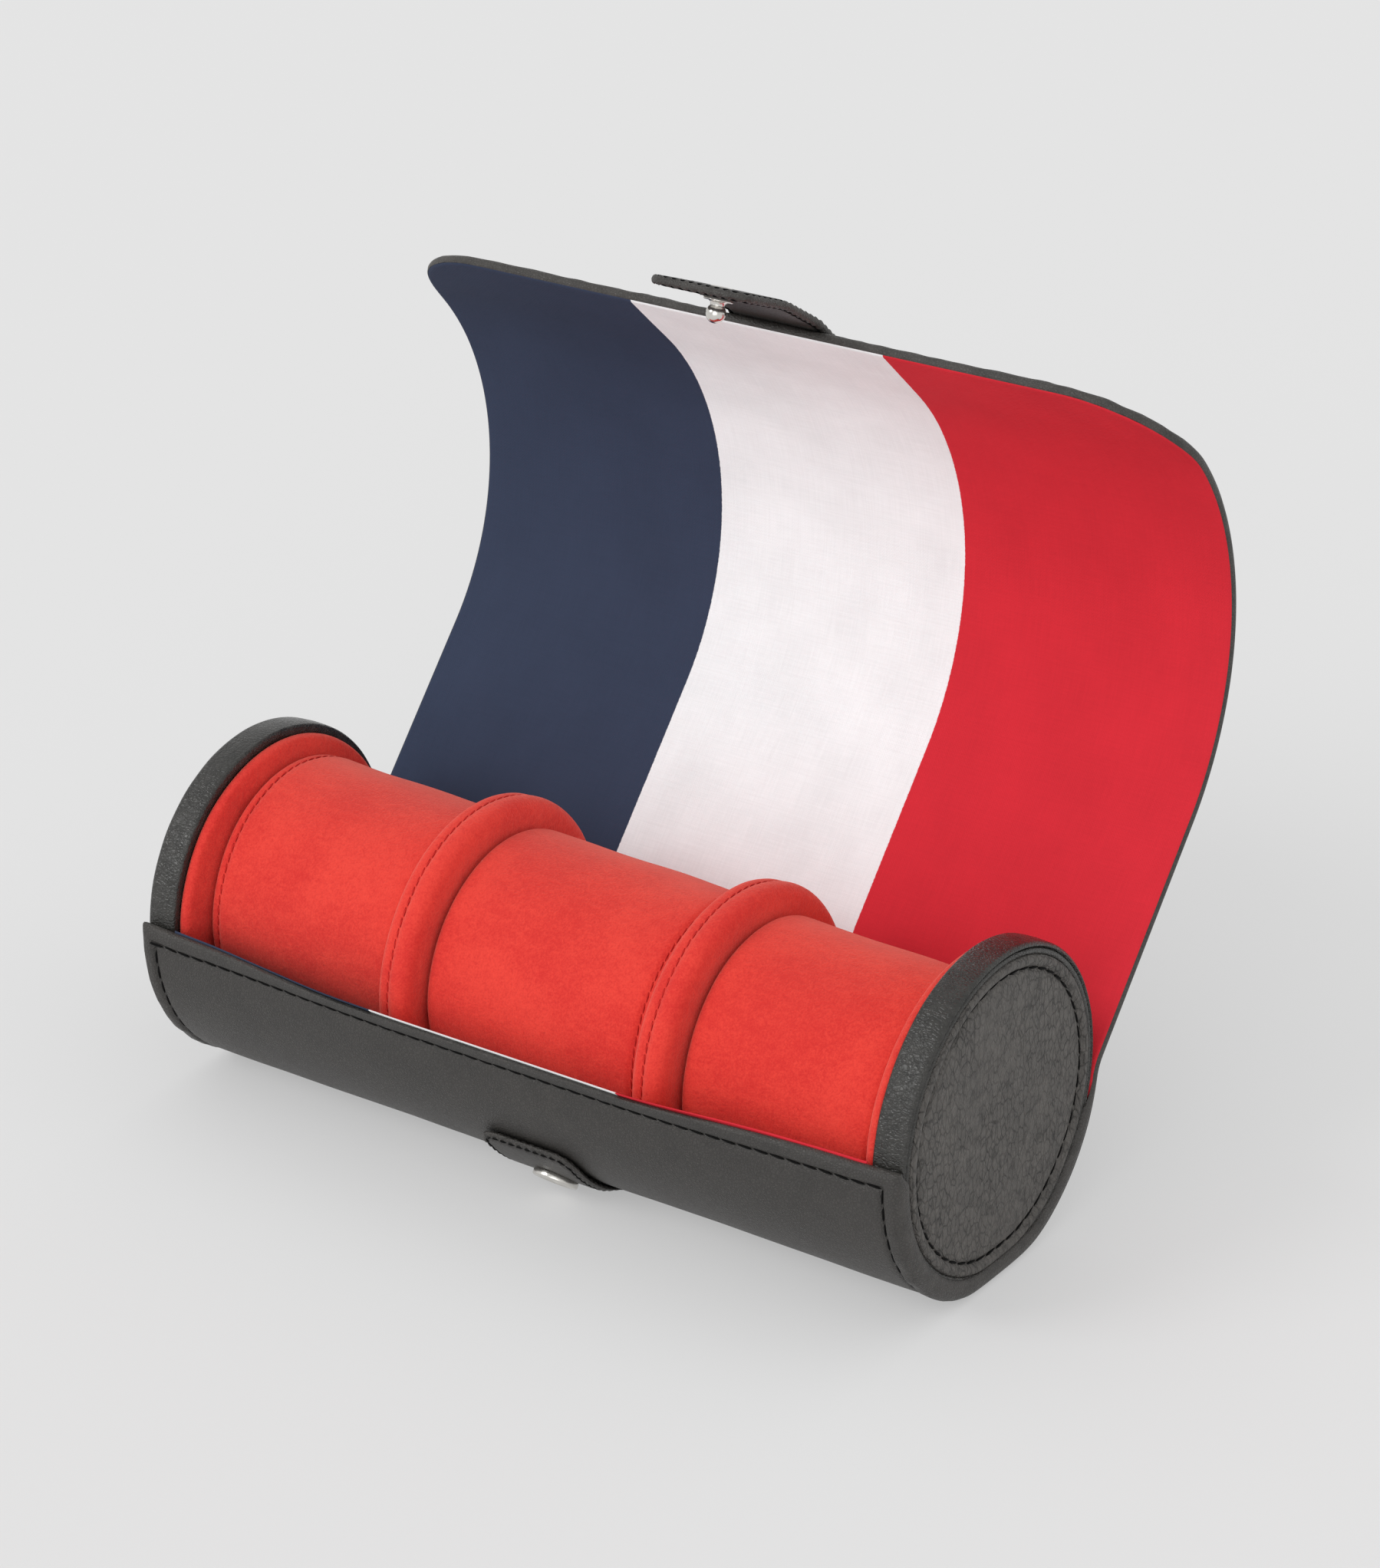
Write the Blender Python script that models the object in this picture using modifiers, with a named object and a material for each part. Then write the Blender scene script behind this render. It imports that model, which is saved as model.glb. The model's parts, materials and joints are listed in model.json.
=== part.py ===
"""Watch roll for three watches, shown open. Metres, +Z up.

The roll lies along X and its flap stands up behind it, on the +Y side. The origin is the centre of the
small flat that the roll rests on.
"""
from math import asin, ceil, cos, floor, hypot, pi, radians, sin, sqrt

import bmesh
import bpy
from mathutils import Matrix, Vector

# Roll
CAP_RADIUS = 0.0410            # outside of the rim band
COVER_HALF_LENGTH = 0.1108     # from the middle to the leather sheet's end
CAP_INSET = 0.0003             # how far inside that end a cap's outer face lies
REST_SAG = 0.0017              # how far the round underside is pressed flat
GAP = 0.0003                   # between pieces that touch

# Sheets
LINING_THICKNESS = 0.0007
LEATHER_THICKNESS = 0.0015
TURNED_EDGE = 0.0005           # leather that shows round the lining
FRONT_EDGE_ANGLE = radians(6)  # the tray's front edge, above the axis
ROOT_ANGLE = radians(12)       # where the flap leaves the caps, below the axis

# Flap, along its inner face from the root to the tip
FOLD_RADIUS = 0.012
FOLD_ANGLE = radians(29.6)
FLAP_STRAIGHT = 0.0596
CURL_RADIUS = 0.0667
CURL_ANGLE = radians(88.8)
TIP_STRAIGHT = 0.0216
FLAP_CORNER_RADIUS = 0.028

# Caps
BAND_WIDTH = 0.0085
BAND_THICKNESS = 0.0012
BAND_LIP = 0.0026              # the band's turn over the cap's outer face
BAND_ROUNDING = 0.0011
BAND_CHAMFER = 0.0004
DISC_THICKNESS = 0.0016
DISC_PROUD = 0.0004
DISC_CHAMFER = 0.0004
PAD_PROUD = 0.0035             # how far the inner pad stands out of the band
PAD_THICKNESS = 0.0055
PAD_ROUNDING = 0.0022

# Cushions and dividers
CUSHION_RADIUS = 0.0335
CUSHION_ROUNDING = 0.0022
DIVIDER_RADIUS = 0.0400
DIVIDER_WIDTH = 0.0098
DIVIDER_ROUNDING = 0.0034
LEFT_DIVIDER_X = -0.0360
RIGHT_DIVIDER_X = 0.0384
SEAT_DROP = 0.0011             # how far the row's middle lies below the roll's axis
SEAT_SLOPE = 0.037             # the row's fall towards the right cap

# Closing tabs
TAB_X = 0.0045
TAB_WIDTH = 0.028
TAB_THICKNESS = 0.0022
TAB_CORNER_RADIUS = 0.004
FLAP_TAB_SEWN = 0.014          # on the flap's outside
FLAP_TAB_STRAIGHT = 0.006      # on past the flap's edge
FLAP_TAB_BEND_RADIUS = 0.020
FLAP_TAB_BEND = radians(21)
FLAP_TAB_END = 0.020
FRONT_TAB_ROOT = radians(26)   # from straight down, towards the front
FRONT_TAB_TIP = radians(61)
FRONT_TAB_SPRING = 0.0009      # how far its tip stands off the tray

# Press fastener
STUD_FROM_TIP = 0.0075
STUD_FLANGE_RADIUS = 0.0036
STUD_FLANGE = 0.0007
STUD_NECK_RADIUS = 0.0017
STUD_BALL_RADIUS = 0.0024
STUD_BALL_HEIGHT = 0.0036      # from the flange to the ball's centre
SOCKET_ANGLE = radians(40)     # from straight down, towards the front
SOCKET_RADIUS = 0.0057
SOCKET_HEIGHT = 0.0021
SOCKET_BORE_RADIUS = 0.0027
SOCKET_BORE_DEPTH = 0.0013
SOCKET_ROUNDING = 0.0007
RIVET_HEAD_RADIUS = 0.0030
RIVET_HEAD = 0.0006
RIVET_SHANK_RADIUS = 0.0011

# Facets
TURN_STEPS = 60
SMALL_STEPS = 20
BALL_STEPS = 6
SHEET_COLUMNS = 4
FOLD_STEPS = 4
STRAIGHT_STEPS = 3
CURL_STEPS = 12
CORNER_STEPS = 6
TAB_STEPS = 8
TAB_BEND_STEPS = 4
TAB_CORNER_STEPS = 4
ROUNDING_STEPS = 3
STATION_MARGIN = 0.3           # the least room between two stations, in turning steps
SHARP_ANGLE = radians(35)
WELD = 1e-6

# Worked out from the sizes above
SHEET_RADIUS = CAP_RADIUS + GAP
COVER_OFFSET = LINING_THICKNESS + GAP
COVER_OUTSIDE = COVER_OFFSET + LEATHER_THICKNESS
COVER_BORE = SHEET_RADIUS + COVER_OFFSET
COVER_RADIUS = SHEET_RADIUS + COVER_OUTSIDE
AXIS_Z = COVER_RADIUS - REST_SAG
CAP_FACE_X = COVER_HALF_LENGTH - CAP_INSET
BAND_INNER_X = CAP_FACE_X - BAND_WIDTH
PAD_FACE_X = BAND_INNER_X - PAD_PROUD

MATERIALS = {
    "black_leather": ((0.040, 0.041, 0.040), 0.55, 0.0),
    "rim_leather": ((0.030, 0.032, 0.031), 0.42, 0.0),
    "lining_cotton": ((0.80, 0.79, 0.82), 0.90, 0.0),
    "red_suede": ((0.74, 0.055, 0.040), 0.95, 0.0),
    "grey_board": ((0.32, 0.29, 0.25), 0.85, 0.0),
    "nickel": ((0.72, 0.70, 0.66), 0.25, 1.0),
}


def clear_scene():
    for item in list(bpy.data.objects):
        bpy.data.objects.remove(item, do_unlink=True)


def material(name):
    found = bpy.data.materials.get(name)
    if found:
        return found
    colour, roughness, metallic = MATERIALS[name]
    made = bpy.data.materials.new(name)
    made.use_nodes = True
    shader = made.node_tree.nodes["Principled BSDF"]
    shader.inputs["Base Color"].default_value = (*colour, 1.0)
    shader.inputs["Roughness"].default_value = roughness
    shader.inputs["Metallic"].default_value = metallic
    return made


def collection(name):
    made = bpy.data.collections.new(name)
    bpy.context.scene.collection.children.link(made)
    return made


def add_object(bm, name, home, finish=None):
    bm.normal_update()
    mesh = bpy.data.meshes.new(name)
    bm.to_mesh(mesh)
    bm.free()
    mesh.shade_smooth()
    mesh.set_sharp_from_angle(angle=SHARP_ANGLE)
    piece = bpy.data.objects.new(name, mesh)
    home.objects.link(piece)
    if finish:
        mesh.materials.append(material(finish))
    return piece


# The sheets' section, as (length, curvature) along the lining's inner face

def section():
    return (
        (SHEET_RADIUS * (pi - ROOT_ANGLE + FRONT_EDGE_ANGLE), 1 / SHEET_RADIUS),
        (FOLD_RADIUS * FOLD_ANGLE, -1 / FOLD_RADIUS),
        (FLAP_STRAIGHT, 0.0),
        (CURL_RADIUS * CURL_ANGLE, 1 / CURL_RADIUS),
        (TIP_STRAIGHT, 0.0),
    )


def section_length():
    return sum(length for length, curvature in section())


def follow(pieces, start, heading, distance):
    """Walk the distance along arcs and straights, and return the point and the heading there."""
    point = Vector(start)
    for length, curvature in pieces:
        step = min(length, distance)
        if curvature:
            turned = heading + step * curvature
            point += Vector((sin(turned) - sin(heading), cos(heading) - cos(turned))) / curvature
            heading = turned
        else:
            point += step * Vector((cos(heading), sin(heading)))
        distance -= step
        if distance <= 0:
            break
    return point, heading


def pressed(y, z):
    """The height of a point once the roll's underside is pressed flat, less so nearer the axis."""
    radius = hypot(y, z - AXIS_Z)
    sag = REST_SAG * (radius / COVER_BORE) ** 2
    return max(z, AXIS_Z - radius + sag)


def sheet_point(distance, offset):
    """A point of the sheets' section, moved out from the lining's inner face by the offset."""
    angle = pi - FRONT_EDGE_ANGLE
    start = (SHEET_RADIUS * cos(angle), AXIS_Z + SHEET_RADIUS * sin(angle))
    point, heading = follow(section(), start, angle + pi / 2, distance)
    y = point.x + offset * sin(heading)
    z = point.y - offset * cos(heading)
    return y, pressed(y, z)


def sheet_stations(end_trim, corner):
    """Distances along the section, closer where it bends and at the flap's round corners."""
    wrap, fold, straight, curl, tip = (length for length, curvature in section())
    step = 2 * pi / TURN_STEPS
    from_front = pi - FRONT_EDGE_ANGLE
    first = ceil(from_front / step + STATION_MARGIN)
    last = floor((from_front + wrap / SHEET_RADIUS) / step - STATION_MARGIN)
    stations = [0.0]
    stations += [SHEET_RADIUS * (i * step - from_front) for i in range(first, last + 1)]
    stations += [wrap + fold * i / FOLD_STEPS for i in range(FOLD_STEPS + 1)]
    stations += [wrap + fold + straight * i / STRAIGHT_STEPS for i in range(1, STRAIGHT_STEPS + 1)]
    end = section_length() - end_trim
    curl_start = wrap + fold + straight
    corner_start = end - corner
    stations += [curl_start + (corner_start - curl_start) * i / CURL_STEPS for i in range(1, CURL_STEPS)]
    stations += [corner_start + corner * sin(pi / 2 * i / CORNER_STEPS) for i in range(CORNER_STEPS + 1)]
    return stations


def half_width_near_end(distance, end, half_width, corner):
    past = max(0.0, distance - (end - corner))
    return half_width - corner + sqrt(max(0.0, corner ** 2 - past ** 2))


def strip(name, home, rows, widths, centre_x, thickness, finish):
    """A sheet through the rows' (y, z) points, thickened on its outer side."""
    bm = bmesh.new()
    bmesh.ops.create_grid(bm, x_segments=SHEET_COLUMNS, y_segments=len(rows) - 1, size=0.5)
    for vert in bm.verts:
        row = round((vert.co.y + 0.5) * (len(rows) - 1))
        across = 2 * vert.co.x * widths[row]
        vert.co = (centre_x + across, *rows[row])
    piece = add_object(bm, name, home, finish)
    shell = piece.modifiers.new("Thickness", "SOLIDIFY")
    shell.thickness = thickness
    shell.offset = -1
    shell.use_even_offset = True
    return piece


def make_sheet(name, home, offset, thickness, margin, finish):
    half_width = COVER_HALF_LENGTH - margin
    corner = FLAP_CORNER_RADIUS - margin
    stations = sheet_stations(margin, corner)
    rows = [sheet_point(distance, offset) for distance in stations]
    widths = [half_width_near_end(s, stations[-1], half_width, corner) for s in stations]
    return strip(name, home, rows, widths, 0.0, thickness, finish)


# Turned pieces on the roll's axis

def arc(centre, radius, start, end, steps):
    """Points on an arc of a profile, between two angles measured from its first axis to its second."""
    turn = [start + (end - start) * i / steps for i in range(steps + 1)]
    return [(centre[0] + radius * cos(a), centre[1] + radius * sin(a)) for a in turn]


def on_axis(co):
    return Vector((co.x, co.y, pressed(co.y, co.z + AXIS_Z)))


def in_row(co):
    """A point of a cushion or divider: on the row's own line, kept inside the tray's bore."""
    y, z = co.y, co.z - SEAT_DROP - SEAT_SLOPE * co.x
    kept = min(1.0, CAP_RADIUS / max(hypot(y, z), WELD))
    return Vector((co.x, y * kept, pressed(y * kept, z * kept + AXIS_Z)))


def turned(name, home, profile, closed, place, finish):
    """Spin an (x, r) profile round the roll's axis, then put each point in its place."""
    bm = bmesh.new()
    verts = [bm.verts.new((x, 0.0, r)) for x, r in profile]
    edges = [bm.edges.new(pair) for pair in zip(verts, verts[1:])]
    if closed:
        edges.append(bm.edges.new((verts[-1], verts[0])))
    bmesh.ops.spin(bm, geom=verts + edges, cent=(0, 0, 0), axis=(1, 0, 0), dvec=(0, 0, 0),
                   angle=2 * pi, steps=TURN_STEPS, use_merge=True, use_duplicate=False)
    bmesh.ops.remove_doubles(bm, verts=bm.verts, dist=WELD)
    for vert in bm.verts:
        vert.co = place(vert.co)
    bmesh.ops.recalc_face_normals(bm, faces=bm.faces)
    return add_object(bm, name, home, finish)


def mirrored(profile, side):
    """The profile of the cap on the other side, in the same turning sense."""
    return profile if side > 0 else [(-x, r) for x, r in reversed(profile)]


def make_cap(home, label, side):
    band_bore = CAP_RADIUS - BAND_THICKNESS
    lip_radius = CAP_RADIUS - BAND_LIP
    lip_back = CAP_FACE_X - BAND_THICKNESS
    core_outer = lip_back - GAP
    pad_back = PAD_FACE_X + PAD_THICKNESS
    core_inner = pad_back + GAP
    core_radius = band_bore - GAP
    disc_radius = lip_radius - GAP
    disc_face = CAP_FACE_X + DISC_PROUD
    disc_back = disc_face - DISC_THICKNESS

    band = [(BAND_INNER_X, band_bore), (BAND_INNER_X, CAP_RADIUS - BAND_CHAMFER)]
    band += [(BAND_INNER_X + BAND_CHAMFER, CAP_RADIUS)]
    corner = (CAP_FACE_X - BAND_ROUNDING, CAP_RADIUS - BAND_ROUNDING)
    band += arc(corner, BAND_ROUNDING, pi / 2, 0, ROUNDING_STEPS)
    band += [(CAP_FACE_X, lip_radius), (lip_back, lip_radius), (lip_back, band_bore)]
    turned(f"{label}_rim_band", home, mirrored(band, side), True, on_axis, "rim_leather")

    seat = disc_back - GAP
    core = [(core_inner, 0.0), (core_inner, core_radius), (core_outer, core_radius)]
    core += [(core_outer, disc_radius), (seat, disc_radius - GAP), (seat, 0.0)]
    turned(f"{label}_cap_core", home, mirrored(core, side), False, on_axis, "grey_board")

    disc = [(disc_back, 0.0), (disc_back, disc_radius), (disc_face - DISC_CHAMFER, disc_radius)]
    disc += [(disc_face, disc_radius - DISC_CHAMFER), (disc_face, 0.0)]
    turned(f"{label}_face_disc", home, mirrored(disc, side), False, on_axis, "black_leather")

    pad_radius = band_bore - GAP
    pad = [(PAD_FACE_X, 0.0)]
    corner = (PAD_FACE_X + PAD_ROUNDING, pad_radius - PAD_ROUNDING)
    pad += arc(corner, PAD_ROUNDING, pi, pi / 2, ROUNDING_STEPS)
    pad += [(pad_back, pad_radius), (pad_back, 0.0)]
    turned(f"{label}_inner_pad", home, mirrored(pad, side), False, on_axis, "red_suede")


def rounded_roll(start_x, end_x, radius, rounding):
    """The (x, r) profile of a closed cylinder with rounded ends."""
    profile = [(start_x, 0.0)]
    profile += arc((start_x + rounding, radius - rounding), rounding, pi, pi / 2, ROUNDING_STEPS)
    profile += arc((end_x - rounding, radius - rounding), rounding, pi / 2, 0, ROUNDING_STEPS)
    return profile + [(end_x, 0.0)]


def make_cushions(home):
    half = DIVIDER_WIDTH / 2 + GAP
    bays = (
        ("left_cushion", -PAD_FACE_X + GAP, LEFT_DIVIDER_X - half),
        ("middle_cushion", LEFT_DIVIDER_X + half, RIGHT_DIVIDER_X - half),
        ("right_cushion", RIGHT_DIVIDER_X + half, PAD_FACE_X - GAP),
    )
    for name, start_x, end_x in bays:
        profile = rounded_roll(start_x, end_x, CUSHION_RADIUS, CUSHION_ROUNDING)
        turned(name, home, profile, False, in_row, "red_suede")


def make_dividers(home):
    half = DIVIDER_WIDTH / 2
    for name, x in (("left_divider", LEFT_DIVIDER_X), ("right_divider", RIGHT_DIVIDER_X)):
        profile = rounded_roll(x - half, x + half, DIVIDER_RADIUS, DIVIDER_ROUNDING)
        turned(name, home, profile, False, in_row, "red_suede")


# Closing tabs

def flap_tab_section():
    return (
        (FLAP_TAB_SEWN + FLAP_TAB_STRAIGHT, 0.0),
        (FLAP_TAB_BEND_RADIUS * FLAP_TAB_BEND, 1 / FLAP_TAB_BEND_RADIUS),
        (FLAP_TAB_END, 0.0),
    )


def flap_tab_point(distance):
    """A point on the flap tab's inner face, and its heading."""
    tip = section_length()
    y, z = sheet_point(tip - FLAP_TAB_SEWN, COVER_OUTSIDE + GAP)
    end_y, end_z = sheet_point(tip, COVER_OUTSIDE + GAP)
    heading = Vector((1, 0)).angle_signed(Vector((end_y - y, end_z - z))) * -1
    return follow(flap_tab_section(), (y, z), heading, distance)


def front_tab_point(share):
    """A point on the front tab's inner face, from its root at 0 to its tip at 1, and its heading."""
    angle = FRONT_TAB_ROOT + (FRONT_TAB_TIP - FRONT_TAB_ROOT) * share
    radius = COVER_RADIUS + GAP + FRONT_TAB_SPRING * share ** 2
    return Vector((-radius * sin(angle), AXIS_Z - radius * cos(angle))), angle


def tab_widths(distances, end):
    return [half_width_near_end(s, end, TAB_WIDTH / 2, TAB_CORNER_RADIUS) for s in distances]


def corner_trims():
    """Where the rows of a tab's round corners lie, from 1 at their start to 0 at the tab's end."""
    return [1 - sin(pi / 2 * i / TAB_CORNER_STEPS) for i in range(TAB_CORNER_STEPS + 1)]


def make_flap_tab(home):
    straight, bend, rest = (length for length, curvature in flap_tab_section())
    end = straight + bend + rest
    distances = [0.0, straight] + [straight + bend * i / TAB_BEND_STEPS for i in range(1, TAB_BEND_STEPS + 1)]
    distances += [end - TAB_CORNER_RADIUS * trim for trim in corner_trims()]
    rows = [tuple(flap_tab_point(s)[0]) for s in distances]
    return strip("flap_tab", home, rows, tab_widths(distances, end), TAB_X, TAB_THICKNESS, "black_leather")


def make_front_tab(home):
    reach = (COVER_RADIUS + GAP) * (FRONT_TAB_TIP - FRONT_TAB_ROOT)
    corner = TAB_CORNER_RADIUS / reach
    shares = [(1 - corner) * i / TAB_STEPS for i in range(TAB_STEPS)]
    shares += [1 - corner * trim for trim in corner_trims()]
    rows = [tuple(front_tab_point(share)[0]) for share in shares]
    widths = tab_widths([share * reach for share in shares], reach)
    piece = strip("front_tab", home, rows, widths, TAB_X, TAB_THICKNESS, "black_leather")
    piece.modifiers["Thickness"].offset = 1
    return piece


# Press fastener

def small_turned(name, home, profile, place, finish):
    """Spin an (r, z) profile about its own axis and put it in place."""
    bm = bmesh.new()
    verts = [bm.verts.new((r, 0.0, z)) for r, z in profile]
    edges = [bm.edges.new(pair) for pair in zip(verts, verts[1:])]
    bmesh.ops.spin(bm, geom=verts + edges, cent=(0, 0, 0), axis=(0, 0, 1), dvec=(0, 0, 0),
                   angle=2 * pi, steps=SMALL_STEPS, use_merge=True, use_duplicate=False)
    bmesh.ops.remove_doubles(bm, verts=bm.verts, dist=WELD)
    bmesh.ops.recalc_face_normals(bm, faces=bm.faces)
    piece = add_object(bm, name, home, finish)
    piece.matrix_world = place
    return piece


def facing(point, outward):
    """A frame at the point (y, z) of the tabs' middle, with its Z along the outward (y, z) direction."""
    turn = Vector((0, *outward)).to_track_quat("Z", "X").to_matrix().to_4x4()
    return Matrix.Translation((TAB_X, *point)) @ turn


def rivet_profile():
    """A rivet with its head sunk below z = 0 and its shank up through the tab."""
    step = GAP + RIVET_HEAD
    return [
        (0.0, GAP), (RIVET_HEAD_RADIUS, GAP), (RIVET_HEAD_RADIUS, step),
        (RIVET_SHANK_RADIUS, step), (RIVET_SHANK_RADIUS, TAB_THICKNESS), (0.0, TAB_THICKNESS),
    ]


def rivet_hole_profile():
    """The rivet's outline with its clearance, run out past both faces of the tab."""
    below = -TAB_THICKNESS
    above = 2 * TAB_THICKNESS
    wide = RIVET_HEAD_RADIUS + GAP
    narrow = RIVET_SHANK_RADIUS + GAP
    step = 2 * GAP + RIVET_HEAD
    return [(0.0, below), (wide, below), (wide, step), (narrow, step), (narrow, above), (0.0, above)]


def stud_profile():
    base = TAB_THICKNESS + GAP
    flange = base + STUD_FLANGE
    neck = asin(STUD_NECK_RADIUS / STUD_BALL_RADIUS)
    foot = [(0.0, base), (STUD_FLANGE_RADIUS, base), (STUD_FLANGE_RADIUS, flange), (STUD_NECK_RADIUS, flange)]
    ball = arc((0.0, flange + STUD_BALL_HEIGHT), STUD_BALL_RADIUS, neck - pi / 2, pi / 2, BALL_STEPS)
    ball[-1] = (0.0, ball[-1][1])
    return foot + ball


def socket_profile():
    base = TAB_THICKNESS + GAP
    top = base + SOCKET_HEIGHT
    floor_z = top - SOCKET_BORE_DEPTH
    corner = (SOCKET_RADIUS - SOCKET_ROUNDING, top - SOCKET_ROUNDING)
    rim = arc(corner, SOCKET_ROUNDING, 0, pi / 2, ROUNDING_STEPS)
    bore = [(SOCKET_BORE_RADIUS, top), (SOCKET_BORE_RADIUS, floor_z), (0.0, floor_z)]
    return [(0.0, base), (SOCKET_RADIUS, base)] + rim + bore


def cut(piece, cutter):
    cutter.hide_render = True
    cutter.display_type = "WIRE"
    hole = piece.modifiers.new("Rivet hole", "BOOLEAN")
    hole.operation = "DIFFERENCE"
    hole.object = cutter


def make_fastener(home, cutters, flap_tab, front_tab):
    end = sum(length for length, curvature in flap_tab_section())
    point, heading = flap_tab_point(end - STUD_FROM_TIP)
    outward = Vector((sin(heading), -cos(heading)))
    stud_place = facing(point + TAB_THICKNESS * outward, -outward)

    share = (SOCKET_ANGLE - FRONT_TAB_ROOT) / (FRONT_TAB_TIP - FRONT_TAB_ROOT)
    point, angle = front_tab_point(share)
    socket_place = facing(point, (-sin(angle), -cos(angle)))

    for label, place, head, tab in (("stud", stud_place, stud_profile(), flap_tab),
                                    ("socket", socket_place, socket_profile(), front_tab)):
        small_turned(label, home, head, place, "nickel")
        small_turned(f"{label}_rivet", home, rivet_profile(), place, "nickel")
        cut(tab, small_turned(f"{label}_hole", cutters, rivet_hole_profile(), place, None))


def main():
    clear_scene()
    home = collection("watch_roll")
    cutters = collection("cutters")
    make_sheet("outer_cover", home, COVER_OFFSET, LEATHER_THICKNESS, 0.0, "black_leather")
    make_sheet("lining", home, 0.0, LINING_THICKNESS, TURNED_EDGE, "lining_cotton")
    for label, side in (("left", -1), ("right", 1)):
        make_cap(home, label, side)
    make_cushions(home)
    make_dividers(home)
    flap_tab = make_flap_tab(home)
    front_tab = make_front_tab(home)
    make_fastener(home, cutters, flap_tab, front_tab)


main()
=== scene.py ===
"""Watch roll for three watches, shown open: the looks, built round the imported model.

The file is laid out as an add-on: sizes and colours are properties, each piece or group of like pieces has
an operator, and a panel lists them. Metres, +Z up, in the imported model's own frame.
"""
import json
from math import ceil, cos, hypot, pi, radians, sin, sqrt

import bmesh
import bpy
from bpy.props import FloatProperty, FloatVectorProperty, IntProperty, PointerProperty
from mathutils import Matrix, Vector, noise

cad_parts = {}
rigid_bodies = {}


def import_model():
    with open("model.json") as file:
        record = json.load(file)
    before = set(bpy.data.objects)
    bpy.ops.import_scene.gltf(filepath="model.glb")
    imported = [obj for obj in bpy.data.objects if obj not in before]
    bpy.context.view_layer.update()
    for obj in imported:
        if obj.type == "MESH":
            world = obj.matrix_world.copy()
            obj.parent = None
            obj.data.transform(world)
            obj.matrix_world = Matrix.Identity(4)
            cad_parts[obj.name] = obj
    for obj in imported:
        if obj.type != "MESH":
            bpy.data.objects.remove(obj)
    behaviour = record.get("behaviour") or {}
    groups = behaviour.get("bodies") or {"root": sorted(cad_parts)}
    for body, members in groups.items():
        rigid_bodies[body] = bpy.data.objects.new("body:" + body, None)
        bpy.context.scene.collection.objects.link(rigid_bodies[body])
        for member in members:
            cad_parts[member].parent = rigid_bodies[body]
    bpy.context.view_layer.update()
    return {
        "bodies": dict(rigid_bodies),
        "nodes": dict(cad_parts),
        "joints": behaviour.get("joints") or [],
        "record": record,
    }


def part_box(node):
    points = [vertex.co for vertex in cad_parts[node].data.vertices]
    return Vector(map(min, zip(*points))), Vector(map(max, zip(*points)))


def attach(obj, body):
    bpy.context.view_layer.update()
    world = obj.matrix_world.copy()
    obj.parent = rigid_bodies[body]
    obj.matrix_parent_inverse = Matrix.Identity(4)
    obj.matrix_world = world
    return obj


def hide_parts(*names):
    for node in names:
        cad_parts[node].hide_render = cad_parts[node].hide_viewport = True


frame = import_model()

bl_info = {
    "name": "Watch Roll",
    "version": (1, 0, 0),
    "blender": (4, 5, 0),
    "location": "View3D > Sidebar > Watch Roll",
    "description": "Builds the leather, suede and cotton of an open watch roll",
    "category": "Object",
}

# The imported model's sizes
BAND_LOW, BAND_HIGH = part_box("right_rim_band")
COVER_LOW, COVER_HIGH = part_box("outer_cover")
TAB_LOW, TAB_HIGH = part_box("front_tab")
DISC_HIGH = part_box("right_face_disc")[1]
PAD_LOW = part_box("right_inner_pad")[0]

CLEARANCE = 0.0003
CAP_RADIUS = BAND_HIGH.y
AXIS_Z = BAND_HIGH.z - CAP_RADIUS
COVER_RADIUS = -COVER_LOW.y
LINING_BORE = CAP_RADIUS + CLEARANCE

# Where the front wall's edge changes along the roll, measured from its middle
GIVE_MIDDLE, GIVE_REACH = 0.005, (0.03, 0.10)
HELD_REACH = (0.098, 0.108)
LEAN_MIDDLE, LEAN_REACH = -0.006, (0.040, 0.104)
SOFT_ENDS = (0.085, 0.109)

# The leather's turned edge: its puff, its furrow and the furrow's half width, and its roll past the cap's face
EDGE_PUFF, EDGE_FURROW, FURROW_REACH, EDGE_ROLL = 0.00045, 0.0006, 0.0011, 0.0006
LOOSE_WAVES = ((28.0, 0.0, 0.00022), (75.0, 0.7, 0.00008))
TUCK_START, TUCK_REACH = 0.010, (0.0015, 0.006)

# Suede: how far from a seam it is drawn in, its furrows, the filling's dents and its share of fullness
SEAM_REACH, CUSHION_FURROW, DIVIDER_FURROW, DENT = 0.0012, 0.0006, 0.0008, 0.00035
CUSHION_FILL, DIVIDER_FILL, PAD_FILL = 0.85, 0.9, 0.7

THREAD_CLEAR = 0.00014
PICTURE_LONG_SIDE = 2044
FOCAL_PIXELS = 5883.0


def size(name, description, default, **more):
    return FloatProperty(name=name, description=description, default=default, unit="LENGTH", precision=5, **more)


def angle(name, description, degrees):
    return FloatProperty(name=name, description=description, default=radians(degrees), subtype="ANGLE")


def colour(name, description, value):
    return FloatVectorProperty(name=name, description=description, default=value, size=3, subtype="COLOR",
                               min=0.0, max=1.0)


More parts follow.
